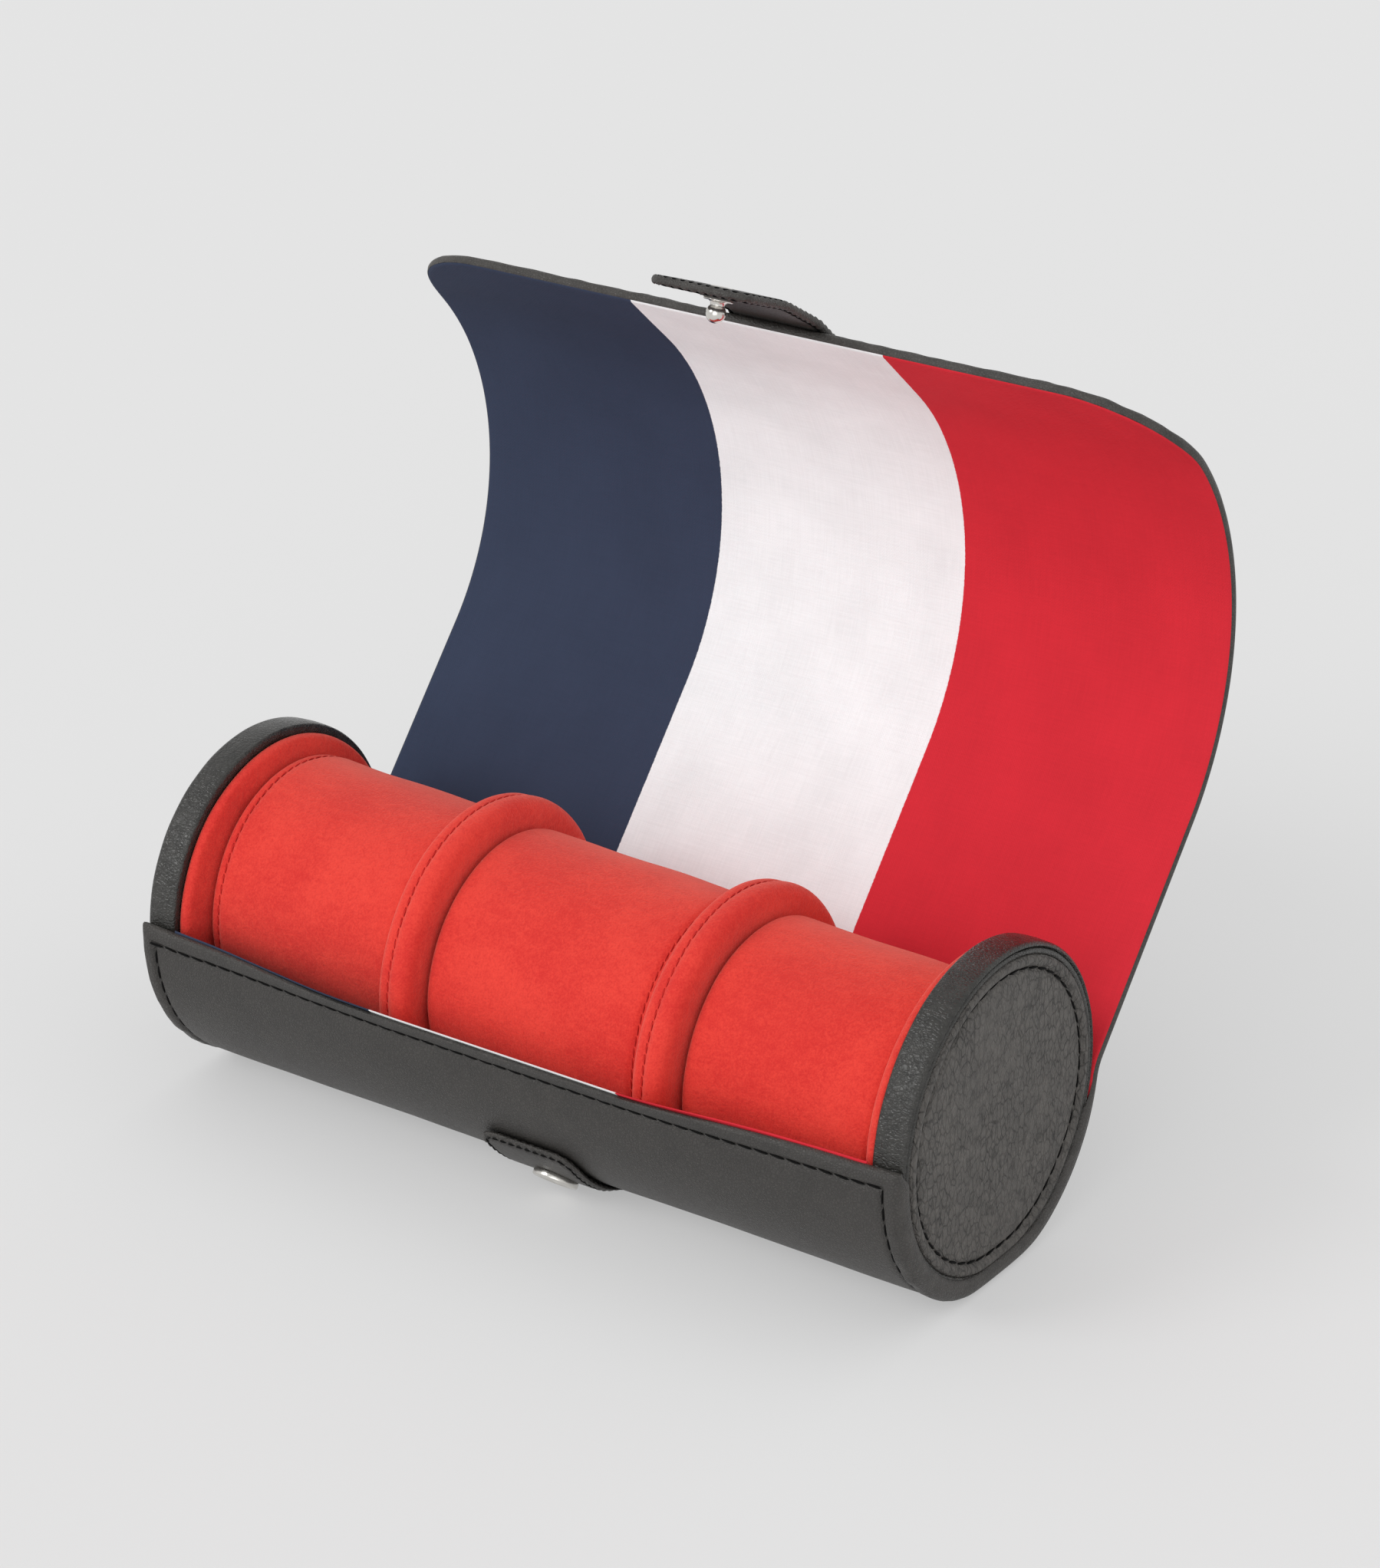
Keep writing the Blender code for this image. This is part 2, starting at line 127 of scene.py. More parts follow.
class WATCHROLL_PG_sheet(bpy.types.PropertyGroup):
    """The leather and cotton sheets that make the tray and the flap"""
    half_length: size("Half length", "From the middle to the leather's end", COVER_HIGH.x)
    leather: size("Leather", "Thickness of the leather", 0.0015)
    cotton: size("Cotton", "Thickness of the lining", 0.0007)
    gap: size("Gap", "Room between leather and lining", 0.0003)
    front_angle: angle("Front edge", "The tray's front edge, above the axis", 6)
    root_angle: angle("Root", "Where the flap leaves the caps, below the axis", 12)
    fold_radius: size("Fold radius", "Bend at the flap's root", 0.012)
    fold_angle: angle("Fold angle", "Turn at the flap's root", 29.6)
    straight: size("Straight", "Flat stretch above the root", 0.0596)
    curl_radius: size("Curl radius", "Bend of the flap's upper part", 0.0667)
    curl_angle: angle("Curl angle", "Turn of the flap's upper part", 88.8)
    tip: size("Tip", "Flat stretch at the flap's edge", 0.0216)
    corner: size("Corner", "Radius of the flap's two corners", 0.028)
    bow: size("Bow", "How far the tray's front wall stands out at its middle", 0.0014)
    bow_reach: size("Bow reach", "How far down the wall the bow goes", 0.040)
    rise: size("Rise", "How far the caps hold the front wall's ends up", 0.0010)
    lean: angle("Lean", "How far the front wall's hem leans out at its middle", 30)
    hem: size("Hem", "Width of the front wall's edge that leans out", 0.0062)
    welt: size("Welt", "How far the leather's end rolls over the cap's face", 0.0036)
    lining_margin: size("Lining margin", "Leather that shows round the lining", 0.0005)
    lining_rise: size("Lining rise", "How far the lining stands over the tray's front edge", 0.0013)
    rim_round: size("Edge rounding", "Width over which the leather's turned edge rounds off", 0.0012)
    stitch_inset: size("Stitch inset", "From the edge to the stitches", 0.0042)


class WATCHROLL_PG_caps(bpy.types.PropertyGroup):
    """The end caps: rim band, face disc and inner pad"""
    face_x: size("Face", "From the middle to a cap's outer face", BAND_HIGH.x)
    band_width: size("Band width", "Width of the rim band", BAND_HIGH.x - BAND_LOW.x)
    band_lip: size("Band lip", "How far the band turns over the cap's inner side", 0.0034)
    piping: size("Piping", "Radius of the ring round the face", 0.0009)
    disc_radius: size("Disc radius", "Outside of the stitched disc", DISC_HIGH.y)
    disc_stitch: size("Disc stitch", "From the disc's edge to its stitches", 0.0033)
    pad_radius: size("Pad radius", "Outside of the inner pad", 0.0393)
    left_rise: size("Left rise", "How much higher the left cap sits than the right one", 0.0009)
    left_out: size("Left out", "How much further out the left cap sits than the right one", 0.0005)
    pad_face: size("Pad face", "From the middle to a pad's inner face", PAD_LOW.x)


class WATCHROLL_PG_padding(bpy.types.PropertyGroup):
    """The watch cushions and the dividers"""
    cushion_radius: size("Cushion radius", "Outside of a cushion before it is filled", 0.0331)
    cushion_end: size("Cushion end", "Rounding of a cushion's ends", 0.0022)
    cushion_hem: size("Cushion hem", "From a cushion's end to its seam", 0.0027)
    divider_radius: size("Divider radius", "Outside of a divider before it is filled", 0.0395)
    divider_end: size("Divider end", "Rounding of a divider's edges", 0.0032)
    divider_seam: FloatProperty(name="Divider seam", description="Where the seam lies across a divider, from its "
                                "left side at 0 to its right side at 1", default=0.40, min=0.0, max=1.0)
    pressure: FloatProperty(name="Pressure", description="Air pressure that fills the suede", default=3.0)
    swell: size("Swell", "The most that the filling may move the suede", 0.0012)
    frames: IntProperty(name="Frames", description="Steps of the cloth simulation", default=16)
    seat_drop: size("Seat drop", "How far the row's middle lies below the roll's axis", 0.0011)
    seat_slope: FloatProperty(name="Seat slope", description="The row's fall towards the right cap", default=0.037)
    stitch: size("Stitch", "From one stitch to the next on the suede", 0.0027)


class WATCHROLL_PG_tabs(bpy.types.PropertyGroup):
    """The two closing tabs and their press fastener"""
    x: size("Place", "Middle of the tabs along the roll", (TAB_LOW.x + TAB_HIGH.x) / 2)
    width: size("Width", "Width of a tab", TAB_HIGH.x - TAB_LOW.x)
    thickness: size("Thickness", "Thickness of the flap's tab", 0.0024)
    corner: size("Corner", "Radius of a tab's corners", 0.0055)
    sewn: size("Sewn", "Length of the flap's tab that is sewn down", 0.014)
    root_radius: size("Root radius", "Bend where the flap's tab leaves the flap", 0.010)
    root_bend: angle("Root bend", "Turn where the flap's tab leaves the flap", 11)
    straight: size("Straight", "Length between the flap tab's two bends", 0.013)
    bend_radius: size("Bend radius", "Bend of the flap's tab", 0.012)
    bend: angle("Bend", "Turn of the flap's tab", 10)
    end: size("End", "Length of the flap's tab past the bend", 0.0195)
    root: angle("Root", "The front tab's root, from straight down", 26)
    tip: angle("Tip", "The front tab's tip, from straight down", 61)
    spring: size("Spring", "How far the front tab's tip stands off the tray", 0.0006)
    scallop: size("Scallop", "Depth of the pinched edge at a stitch", 0.00045)
    front_thickness: size("Front thickness", "Thickness of the front tab", 0.0018)
    front_shift: size("Front shift", "How far the front tab lies to the left of the flap's tab", 0.0012)
    socket_shift: size("Socket shift", "How far the socket lies to the right of the front tab's middle", 0.0018)
    stitch_inset: size("Stitch inset", "From a tab's edge to its stitches", 0.0016)
    stud_from_tip: size("Stud from tip", "From the flap tab's end to the stud's middle", 0.0120)
    socket: angle("Socket", "The socket's place, from straight down", 40)


class WATCHROLL_PG_thread(bpy.types.PropertyGroup):
    """The stitches"""
    pitch: size("Pitch", "From one stitch to the next", 0.0043)
    length: FloatProperty(name="Length", description="How much of a stitch shows", default=0.95, min=0.1, max=1.0)
    radius: size("Radius", "Half the thread's thickness", 0.00030)
    slant: size("Slant", "How far a stitch's ends lie to either side of the seam", 0.00018)
    tab_pitch: size("Tab pitch", "From one stitch to the next on the tabs", 0.0024)


class WATCHROLL_PG_colours(bpy.types.PropertyGroup):
    """The colours of the finishes"""
    leather: colour("Leather", "Black leather", (0.042, 0.0385, 0.035))
    rim: colour("Rim leather", "Smooth leather of the bands", (0.028, 0.027, 0.0245))
    thread: colour("Thread", "Black waxed thread", (0.003, 0.003, 0.003))
    navy: colour("Navy", "Left field of the lining", (0.036, 0.048, 0.086))
    white: colour("White", "Middle field of the lining", (0.868, 0.882, 0.895))
    red: colour("Red", "Right field of the lining", (0.620, 0.024, 0.038))
    suede: colour("Suede", "Brushed light suede", (0.800, 0.060, 0.042))
    suede_dark: colour("Dark suede", "Suede brushed the other way", (0.640, 0.030, 0.026))
    nickel: colour("Nickel", "Plated metal", (0.74, 0.72, 0.68))
    board: colour("Board", "Fibreboard of the caps", (0.32, 0.29, 0.25))
    floor: colour("Floor", "Studio floor", (0.790, 0.790, 0.790))
    backdrop: colour("Backdrop", "Studio background", (0.745, 0.745, 0.745))
    navy_edge: size("Navy edge", "Where navy turns to white", -0.0359)
    red_edge: size("Red edge", "Where white turns to red", 0.0365)


class WATCHROLL_PG_stage(bpy.types.PropertyGroup):
    """Camera and light"""
    azimuth: angle("Azimuth", "Camera's turn round the roll", 35.99)
    elevation: angle("Elevation", "Camera's height above the horizon", 25.05)
    roll: angle("Roll", "Camera's turn about its own view", -1.03)
    distance: size("Distance", "From the axis to the camera", 1.082)
    slide: size("Slide", "Camera's move to its right", 0.0192)
    lift: size("Lift", "Camera's move upwards", 0.0495)
    sensor: FloatProperty(name="Sensor", description="Sensor width in millimetres", default=36.0)
    sky: FloatProperty(name="Sky", description="Light from all round", default=0.84)
    key: FloatProperty(name="Key", description="Strength of the main soft light", default=0.78)
    key_azimuth: angle("Key azimuth", "Where the main light stands round the roll", -36)
    key_height: angle("Key height", "The main light's height above the horizon", 34)
    key_spread: angle("Key spread", "How wide the main light looks from the roll", 26)
    fill: FloatProperty(name="Fill", description="Strength of the front fill light", default=0.60)
    fill_azimuth: angle("Fill azimuth", "Where the fill light stands round the roll", 24)
    fill_height: angle("Fill height", "The fill light's height above the horizon", 14)
    fill_spread: angle("Fill spread", "How wide the fill light looks from the roll", 50)
    pale: FloatProperty(name="Pale", description="How much of the floor's seen colour takes no shadow", default=0.5)


GROUPS = (
    ("wr_sheet", WATCHROLL_PG_sheet), ("wr_caps", WATCHROLL_PG_caps), ("wr_padding", WATCHROLL_PG_padding),
    ("wr_tabs", WATCHROLL_PG_tabs), ("wr_thread", WATCHROLL_PG_thread), ("wr_colours", WATCHROLL_PG_colours),
    ("wr_stage", WATCHROLL_PG_stage),
)


def smooth_step(value, start, end):
    share = min(1.0, max(0.0, (value - start) / (end - start)))
    return share * share * (3 - 2 * share)


def dip(distance, width):
    """1 on a line and 0 from the width away."""
    return 1 - smooth_step(abs(distance), 0.0, width)


# The sheets' section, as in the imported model

def pressed(y, z, power=2, soft=0.0007):
    """The height of a point once the roll's underside is pressed flat, less so nearer the axis.

    soft is how gently the flat begins.
    """
    radius = hypot(y, z - AXIS_Z)
    bore = COVER_RADIUS - bpy.context.scene.wr_sheet.leather
    sag = (COVER_RADIUS - AXIS_Z) * (radius / bore) ** power
    lowest = max(0.0, AXIS_Z - radius + sag)
    above = z - lowest
    return lowest + (above + hypot(above, soft)) / 2


def wall_give(x):
    """How far the tray's front edge gives way: 1 at its middle and below 0 at the caps, which hold it up."""
    return 1 - 1.25 * smooth_step(abs(x - GIVE_MIDDLE), *GIVE_REACH) - 0.45 * smooth_step(abs(x), *HELD_REACH)


def sheet_section():
    sheet = bpy.context.scene.wr_sheet
    return (
        (LINING_BORE * (pi - sheet.root_angle + sheet.front_angle), 1 / LINING_BORE),
        (sheet.fold_radius * sheet.fold_angle, -1 / sheet.fold_radius),
        (sheet.straight, 0.0),
        (sheet.curl_radius * sheet.curl_angle, 1 / sheet.curl_radius),
        (sheet.tip, 0.0),
    )


def length_of(pieces):
    return sum(length for length, curvature in pieces)


def follow(pieces, start, heading, distance):
    """Walk the distance along arcs and straights, and return the point and the heading there."""
    point = Vector(start)
    if distance < 0:
        return point + distance * Vector((cos(heading), sin(heading))), heading
    for length, curvature in pieces:
        step = min(length, distance)
        if curvature:
            turned = heading + step * curvature
            point += Vector((sin(turned) - sin(heading), cos(heading) - cos(turned))) / curvature
            heading = turned
        else:
            point += step * Vector((cos(heading), sin(heading)))
        distance -= step
        if distance <= 0:
            break
    return point, heading


def sheet_place(x, distance, offset):
    """A point of the sheets, from its place along the roll, along the section and out from the lining."""
    sheet = bpy.context.scene.wr_sheet
    start_angle = pi - sheet.front_angle
    start = (LINING_BORE * cos(start_angle), AXIS_Z + LINING_BORE * sin(start_angle))
    give = wall_give(x)
    leaning = max(0.0, sheet.hem - distance) ** 2 / sheet.hem
    fade = 1 - smooth_step(distance, 0.0, sheet.bow_reach)
    lean = sheet.lean * (1 - smooth_step(abs(x - LEAN_MIDDLE), *LEAN_REACH))
    offset += sheet.bow * max(0.0, give) * fade + leaning * sin(lean)
    distance += leaning * (1 - cos(lean)) + sheet.rise * min(0.0, give) * fade
    point, heading = follow(sheet_section(), start, start_angle + pi / 2, distance)
    y = point.x + offset * sin(heading)
    z = point.y - offset * cos(heading)
    return Vector((x, y, pressed(y, z, soft=0.0007 + 0.0009 * smooth_step(abs(x), *SOFT_ENDS))))


# Meshes

def new_piece(bm, name, finish, sharp=40):
    """Make a bmesh an object at the origin, smooth but for edges sharper than the angle given in degrees."""
    bm.normal_update()
    mesh = bpy.data.meshes.new(name)
    bm.to_mesh(mesh)
    bm.free()
    mesh.shade_smooth()
    mesh.set_sharp_from_angle(angle=radians(sharp))
    piece = bpy.data.objects.new(name, mesh)
    bpy.context.scene.collection.objects.link(piece)
    mesh.materials.append(bpy.data.materials[f"{finish}_finish"])
    return piece


def settle(piece, slot, *nodes):
    """Put the piece on the root body and hide the imported parts that it stands for. The slot is not used."""
    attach(piece, "root")
    if nodes:
        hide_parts(*nodes)
    return piece


def spun(profile, place, steps, closed=False):
    """A bmesh of a profile of (first, radius) points spun round its first axis, then put in place."""
    bm = bmesh.new()
    verts = [bm.verts.new((a, 0.0, r)) for a, r in profile]
    edges = [bm.edges.new(pair) for pair in zip(verts, verts[1:])]
    if closed:
        edges.append(bm.edges.new((verts[-1], verts[0])))
    bmesh.ops.spin(bm, geom=verts + edges, cent=(0, 0, 0), axis=(1, 0, 0), dvec=(0, 0, 0),
                   angle=2 * pi, steps=steps, use_merge=True, use_duplicate=False)
    bmesh.ops.remove_doubles(bm, verts=bm.verts, dist=1e-7)
    for vert in bm.verts:
        vert.co = place(vert.co)
    bmesh.ops.recalc_face_normals(bm, faces=bm.faces)
    return bm


def arc(centre, radius, start, end, steps):
    turn = [start + (end - start) * i / steps for i in range(steps + 1)]
    return [(centre[0] + radius * cos(a), centre[1] + radius * sin(a)) for a in turn]


def mirrored(profile, side):
    return profile if side > 0 else [(-x, r) for x, r in reversed(profile)]


def graded(fine, start, end, step):
    """Values from start to end, with the fine ones measured in from both ends and the step between."""
    low = [start + d for d in fine]
    high = [end - d for d in reversed(fine)]
    count = max(1, ceil((high[0] - low[-1]) / step))
    return low + [low[-1] + (high[0] - low[-1]) * i / count for i in range(1, count)] + high


def corner_width(along, end, half_width, corner):
    past = max(0.0, along - (end - corner))
    return half_width - corner + sqrt(max(0.0, corner ** 2 - past ** 2))


def edge_distance(x, along, end, half_width, corner, open_start=False):
    """How far a point of a flat cut lies from the cut's edge."""
    inside = min(half_width - abs(x), end - along)
    if not open_start:
        inside = min(inside, along)
    side, up = abs(x) - (half_width - corner), along - (end - corner)
    if side > 0 and up > 0:
        inside = min(inside, corner - hypot(side, up))
    return max(0.0, inside)


def cut_grid(place, across, along, half_width, corner, faces):
    """Closed bmesh of a sheet: one grid for each face, joined where they meet at the edge.

    across holds distances from the middle line at full width, along the distances from the cut's start.
    faces gives for each face a function of (edge distance, x, along) that returns the offset there.
    """
    bm = bmesh.new()
    edge_layer = bm.verts.layers.float.new("edge")
    cut_layer = bm.verts.layers.float_vector.new("cut")
    end = along[-1]
    outer = max(abs(x) for x in across)
    for face in faces:
        made = bmesh.ops.create_grid(bm, x_segments=len(across) - 1, y_segments=len(along) - 1, size=0.5)
        for vert in made["verts"]:
            column = round((vert.co.x + 0.5) * (len(across) - 1))
            row = round((vert.co.y + 0.5) * (len(along) - 1))
            run = along[row]
            width = corner_width(run, end, half_width, corner)
            x = across[column] * width / outer
            if abs(across[column]) > half_width - corner:
                x = (width - (half_width - abs(across[column]))) * (1 if across[column] > 0 else -1)
            elif width < half_width:
                x = across[column] * (width - corner) / (half_width - corner) if width > corner else x
            border = row in (0, len(along) - 1) or column in (0, len(across) - 1)
            inside = 0.0 if border else edge_distance(x, run, end, half_width, corner)
            vert[edge_layer] = inside
            vert[cut_layer] = (x, run, inside)
            vert.co = place(x, run, face(inside, x, run))
    bmesh.ops.remove_doubles(bm, verts=bm.verts, dist=1e-6)
    bmesh.ops.recalc_face_normals(bm, faces=bm.faces)
    return bm


# Materials

def named_tree(name):
    """A new material's node tree and shader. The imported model's own materials have the slots' plain names."""
    made = bpy.data.materials.new(f"{name}_finish")
    made.use_nodes = True
    return made.node_tree, made.node_tree.nodes["Principled BSDF"]


def add_node(tree, kind, links=(), **settings):
    """A node with its settings, whose inputs take a socket or a plain value by name or number."""
    made = tree.nodes.new(kind)
    for key, value in settings.items():
        setattr(made, key, value)
    for key, value in dict(links).items():
        feed(tree, value, made.inputs[key])
    return made


def feed(tree, value, target):
    if isinstance(value, bpy.types.NodeSocket):
        tree.links.new(value, target)
    else:
        target.default_value = value


def calc(tree, operation, *values):
    made = tree.nodes.new("ShaderNodeMath")
    made.operation = operation
    for i, value in enumerate(values):
        feed(tree, value, made.inputs[i])
    return made.outputs[0]


def scaled(tree, vector, factors):
    made = add_node(tree, "ShaderNodeVectorMath", {0: vector, 1: factors}, operation="MULTIPLY")
    return made.outputs["Vector"]


def ramp(tree, value, low, high, to_low=0.0, to_high=1.0):
    links = {"Value": value, "From Min": low, "From Max": high, "To Min": to_low, "To Max": to_high}
    made = add_node(tree, "ShaderNodeMapRange", links, interpolation_type="SMOOTHSTEP")
    return made.outputs["Result"]


def noise_of(tree, vector, scale, detail=2.0, rough=0.5, distortion=0.0):
    links = {"Vector": vector, "Scale": scale, "Detail": detail, "Roughness": rough, "Distortion": distortion}
    return add_node(tree, "ShaderNodeTexNoise", links)


def mixed(tree, share, first, second):
    made = tree.nodes.new("ShaderNodeMix")
    made.data_type = "RGBA"
    feed(tree, share, made.inputs[0])
    for value, target in ((first, made.inputs[6]), (second, made.inputs[7])):
        feed(tree, value if isinstance(value, bpy.types.NodeSocket) else (*value, 1.0), target)
    return made.outputs[2]


def bumped(tree, height, strength, distance):
    links = {"Height": height, "Strength": strength, "Distance": distance}
    return add_node(tree, "ShaderNodeBump", links).outputs["Normal"]


def crackle(tree, vector, scale):
    """The distance from the nearest line of a network of cells."""
    links = {"Vector": vector, "Scale": scale}
    return add_node(tree, "ShaderNodeTexVoronoi", links, feature="DISTANCE_TO_EDGE").outputs["Distance"]


def seen_directly(tree):
    """1 for the rays that show a surface to the camera, straight or in metal and glass."""
    paths = add_node(tree, "ShaderNodeLightPath")
    seen = calc(tree, "MAXIMUM", paths.outputs["Is Camera Ray"], paths.outputs["Is Glossy Ray"])
    return calc(tree, "MAXIMUM", seen, paths.outputs["Is Transmission Ray"])


def group(name, inputs, outputs):
    """An empty node group with its sockets, given as (name, kind, default)."""
    tree = bpy.data.node_groups.new(name, "ShaderNodeTree")
    for label, kind, default in inputs:
        socket = tree.interface.new_socket(name=label, in_out="INPUT", socket_type=kind)
        if default is not None:
            socket.default_value = default
    for label, kind in outputs:
        tree.interface.new_socket(name=label, in_out="OUTPUT", socket_type=kind)
    return tree, tree.nodes.new("NodeGroupInput").outputs, tree.nodes.new("NodeGroupOutput").inputs


def placed(tree, name, links):
    made = tree.nodes.new("ShaderNodeGroup")
    made.node_tree = bpy.data.node_groups[name]
    for key, value in links.items():
        feed(tree, value, made.inputs[key])
    return made.outputs


def make_grain_group():
    """Leather grain: small pebbles, a network of creases and a slow change of tone; the hollow output is painted shade
    in the creases and between the pebbles.
    """
    inputs = (("Vector", "NodeSocketVector", None), ("Pebbles", "NodeSocketFloat", 1250.0),
              ("Creases", "NodeSocketFloat", 260.0), ("Crease depth", "NodeSocketFloat", 0.6))
    outputs = (("Height", "NodeSocketFloat"), ("Tone", "NodeSocketFloat"), ("Hollow shade", "NodeSocketFloat"))
    tree, given, out = group("Leather grain", inputs, outputs)
    warp = noise_of(tree, given["Vector"], 420.0, 3.0)
    shift = add_node(tree, "ShaderNodeVectorMath", {0: warp.outputs["Color"], "Scale": 0.0011}, operation="SCALE")
    moved = {0: given["Vector"], 1: shift.outputs["Vector"]}
    bent = add_node(tree, "ShaderNodeVectorMath", moved, operation="ADD").outputs["Vector"]
    pebble = ramp(tree, crackle(tree, bent, given["Pebbles"]), 0.0, 0.30)
    crease = ramp(tree, crackle(tree, bent, given["Creases"]), 0.0, 0.12)
    patch = noise_of(tree, given["Vector"], 60.0, 2.0)
    crease_share = calc(tree, "MULTIPLY", given["Crease depth"], ramp(tree, patch.outputs["Fac"], 0.20, 0.75, 0.35))
    crease_drop = calc(tree, "MULTIPLY", crease_share, calc(tree, "SUBTRACT", 1.0, crease))
    fine = noise_of(tree, given["Vector"], 5200.0, 2.0)
    height = calc(tree, "MULTIPLY_ADD", pebble, 0.45, calc(tree, "MULTIPLY", fine.outputs["Fac"], 0.25))
    feed(tree, calc(tree, "SUBTRACT", height, crease_drop), out["Height"])
    tone = noise_of(tree, given["Vector"], 110.0, 4.0, 0.6)
    feed(tree, tone.outputs["Fac"], out["Tone"])
    # painted shade: darker colour between the pebbles and down the creases, where shade would fall
    hollow_shade = calc(tree, "MULTIPLY", calc(tree, "SUBTRACT", 1.0, pebble), 0.5)
    feed(tree, calc(tree, "ADD", hollow_shade, crease_drop), out["Hollow shade"])


def make_nap_group():
    """Suede nap: brushed patches, streaks and short fibres."""
    outputs = (("Height", "NodeSocketFloat"), ("Tone", "NodeSocketFloat"))
    tree, given, out = group("Suede nap", (("Vector", "NodeSocketVector", None),), outputs)
    patches = noise_of(tree, given["Vector"], 38.0, 3.0, 0.55, 0.6)
    streaks = noise_of(tree, scaled(tree, given["Vector"], (1.0, 2.2, 2.2)), 190.0, 3.0, 0.6, 0.4)
    clumps = noise_of(tree, given["Vector"], 780.0, 3.0, 0.65)
    fibres = noise_of(tree, given["Vector"], 1900.0, 3.0, 0.7)
    tone = calc(tree, "MULTIPLY_ADD", ramp(tree, patches.outputs["Fac"], 0.30, 0.70), 0.26,
                calc(tree, "MULTIPLY", ramp(tree, streaks.outputs["Fac"], 0.20, 0.80), 0.16))
    tone = calc(tree, "MULTIPLY_ADD", ramp(tree, clumps.outputs["Fac"], 0.25, 0.75), 0.20, tone)
    tone = calc(tree, "MULTIPLY_ADD", ramp(tree, fibres.outputs["Fac"], 0.25, 0.75), 0.38, tone)
    feed(tree, tone, out["Tone"])
    rough = calc(tree, "MULTIPLY", fibres.outputs["Fac"], 0.5)
    feed(tree, calc(tree, "MULTIPLY_ADD", clumps.outputs["Fac"], 0.5, rough), out["Height"])


def make_weave_group():
    """Plain weave, from flat coordinates in metres."""
    inputs = (("Vector", "NodeSocketVector", None), ("Threads", "NodeSocketFloat", 2600.0))
    outputs = (("Height", "NodeSocketFloat"), ("Tone", "NodeSocketFloat"))
    tree, given, out = group("Plain weave", inputs, outputs)
    parts = add_node(tree, "ShaderNodeSeparateXYZ", {0: given["Vector"]})
    turn = calc(tree, "MULTIPLY", given["Threads"], pi)
    warp = calc(tree, "SINE", calc(tree, "MULTIPLY", parts.outputs["X"], turn))
    weft = calc(tree, "SINE", calc(tree, "MULTIPLY", parts.outputs["Y"], turn))
    over = calc(tree, "MULTIPLY_ADD", calc(tree, "MULTIPLY", warp, weft), 0.5, 0.5)
    slub_x = noise_of(tree, scaled(tree, given["Vector"], (2400.0, 90.0, 1.0)), 1.0, 2.0)
    slub_y = noise_of(tree, scaled(tree, given["Vector"], (90.0, 2400.0, 1.0)), 1.0, 2.0)
    slubs = calc(tree, "ADD", slub_x.outputs["Fac"], slub_y.outputs["Fac"])
    feed(tree, calc(tree, "MULTIPLY_ADD", slubs, 0.35, calc(tree, "MULTIPLY", over, 0.5)), out["Height"])
    cloud = noise_of(tree, given["Vector"], 45.0, 3.0)
    fine = calc(tree, "MULTIPLY", slubs, 0.25)
    feed(tree, calc(tree, "MULTIPLY_ADD", cloud.outputs["Fac"], 0.5, fine), out["Tone"])


def make_wear_group():
    """Rubbed edge: a mask from the piece's own edge distance, broken up by noise."""
    inputs = (("Vector", "NodeSocketVector", None), ("Edge", "NodeSocketFloat", 1.0),
              ("Reach", "NodeSocketFloat", 0.0012))
    tree, given, out = group("Rubbed edge", inputs, (("Mask", "NodeSocketFloat"),))
    near = calc(tree, "SUBTRACT", 1.0, ramp(tree, given["Edge"], 0.0, given["Reach"]))
    broken = noise_of(tree, given["Vector"], 320.0, 3.0)
    feed(tree, calc(tree, "MULTIPLY", near, ramp(tree, broken.outputs["Fac"], 0.25, 0.75)), out["Mask"])


def object_place(tree):
    return add_node(tree, "ShaderNodeTexCoord").outputs["Object"]


def make_leather(name, tint, roughness, grain, pebble, creases, depth, stretch=(1.0, 1.0, 1.0)):
    """A leather of one tint, with its grain's strength, scales and crease depth, stretched along the roll's axes; the
    crease depth also sets how dark the painted shade in the creases is.
    """
    tree, shader = named_tree(name)
    place = object_place(tree)
    vector = scaled(tree, place, stretch)
    links = {"Vector": vector, "Pebbles": pebble, "Creases": creases, "Crease depth": depth}
    made = placed(tree, "Leather grain", links)
    edge = add_node(tree, "ShaderNodeAttribute", attribute_name="edge").outputs["Fac"]
    worn = placed(tree, "Rubbed edge", {"Vector": place, "Edge": edge})["Mask"]
    # painted shade: the grain's hollows and creases are darkened in colour towards this
    dark = tuple(c * 0.30 for c in tint)
    light = tuple(c * 1.22 for c in tint)
    base = mixed(tree, ramp(tree, made["Tone"], 0.25, 0.75), tuple(c * 0.88 for c in tint), light)
    base = mixed(tree, calc(tree, "MULTIPLY", made["Hollow shade"], 0.8), base, dark)
    base = mixed(tree, calc(tree, "MULTIPLY", worn, 0.35), base, tuple(min(1.0, c * 2.1) for c in tint))
    feed(tree, base, shader.inputs["Base Color"])
    rough = calc(tree, "MULTIPLY_ADD", made["Tone"], 0.18, roughness - 0.09)
    feed(tree, calc(tree, "MULTIPLY_ADD", made["Hollow shade"], 0.12, rough), shader.inputs["Roughness"])
    feed(tree, bumped(tree, made["Height"], grain, 0.0004), shader.inputs["Normal"])
    shader.inputs["Specular IOR Level"].default_value = 0.45


def make_suede(name, light, dark):
    tree, shader = named_tree(name)
    place = object_place(tree)
    nap = placed(tree, "Suede nap", {"Vector": place})
    feed(tree, mixed(tree, ramp(tree, nap["Tone"], 0.15, 0.85), dark, light), shader.inputs["Base Color"])
    feed(tree, bumped(tree, nap["Height"], 0.75, 0.0006), shader.inputs["Normal"])
    shader.inputs["Roughness"].default_value = 0.92
    shader.inputs["Specular IOR Level"].default_value = 0.15
    shader.inputs["Sheen Weight"].default_value = 0.55
    shader.inputs["Sheen Roughness"].default_value = 0.45
    shader.inputs["Sheen Tint"].default_value = (1.0, 0.42, 0.34, 1.0)


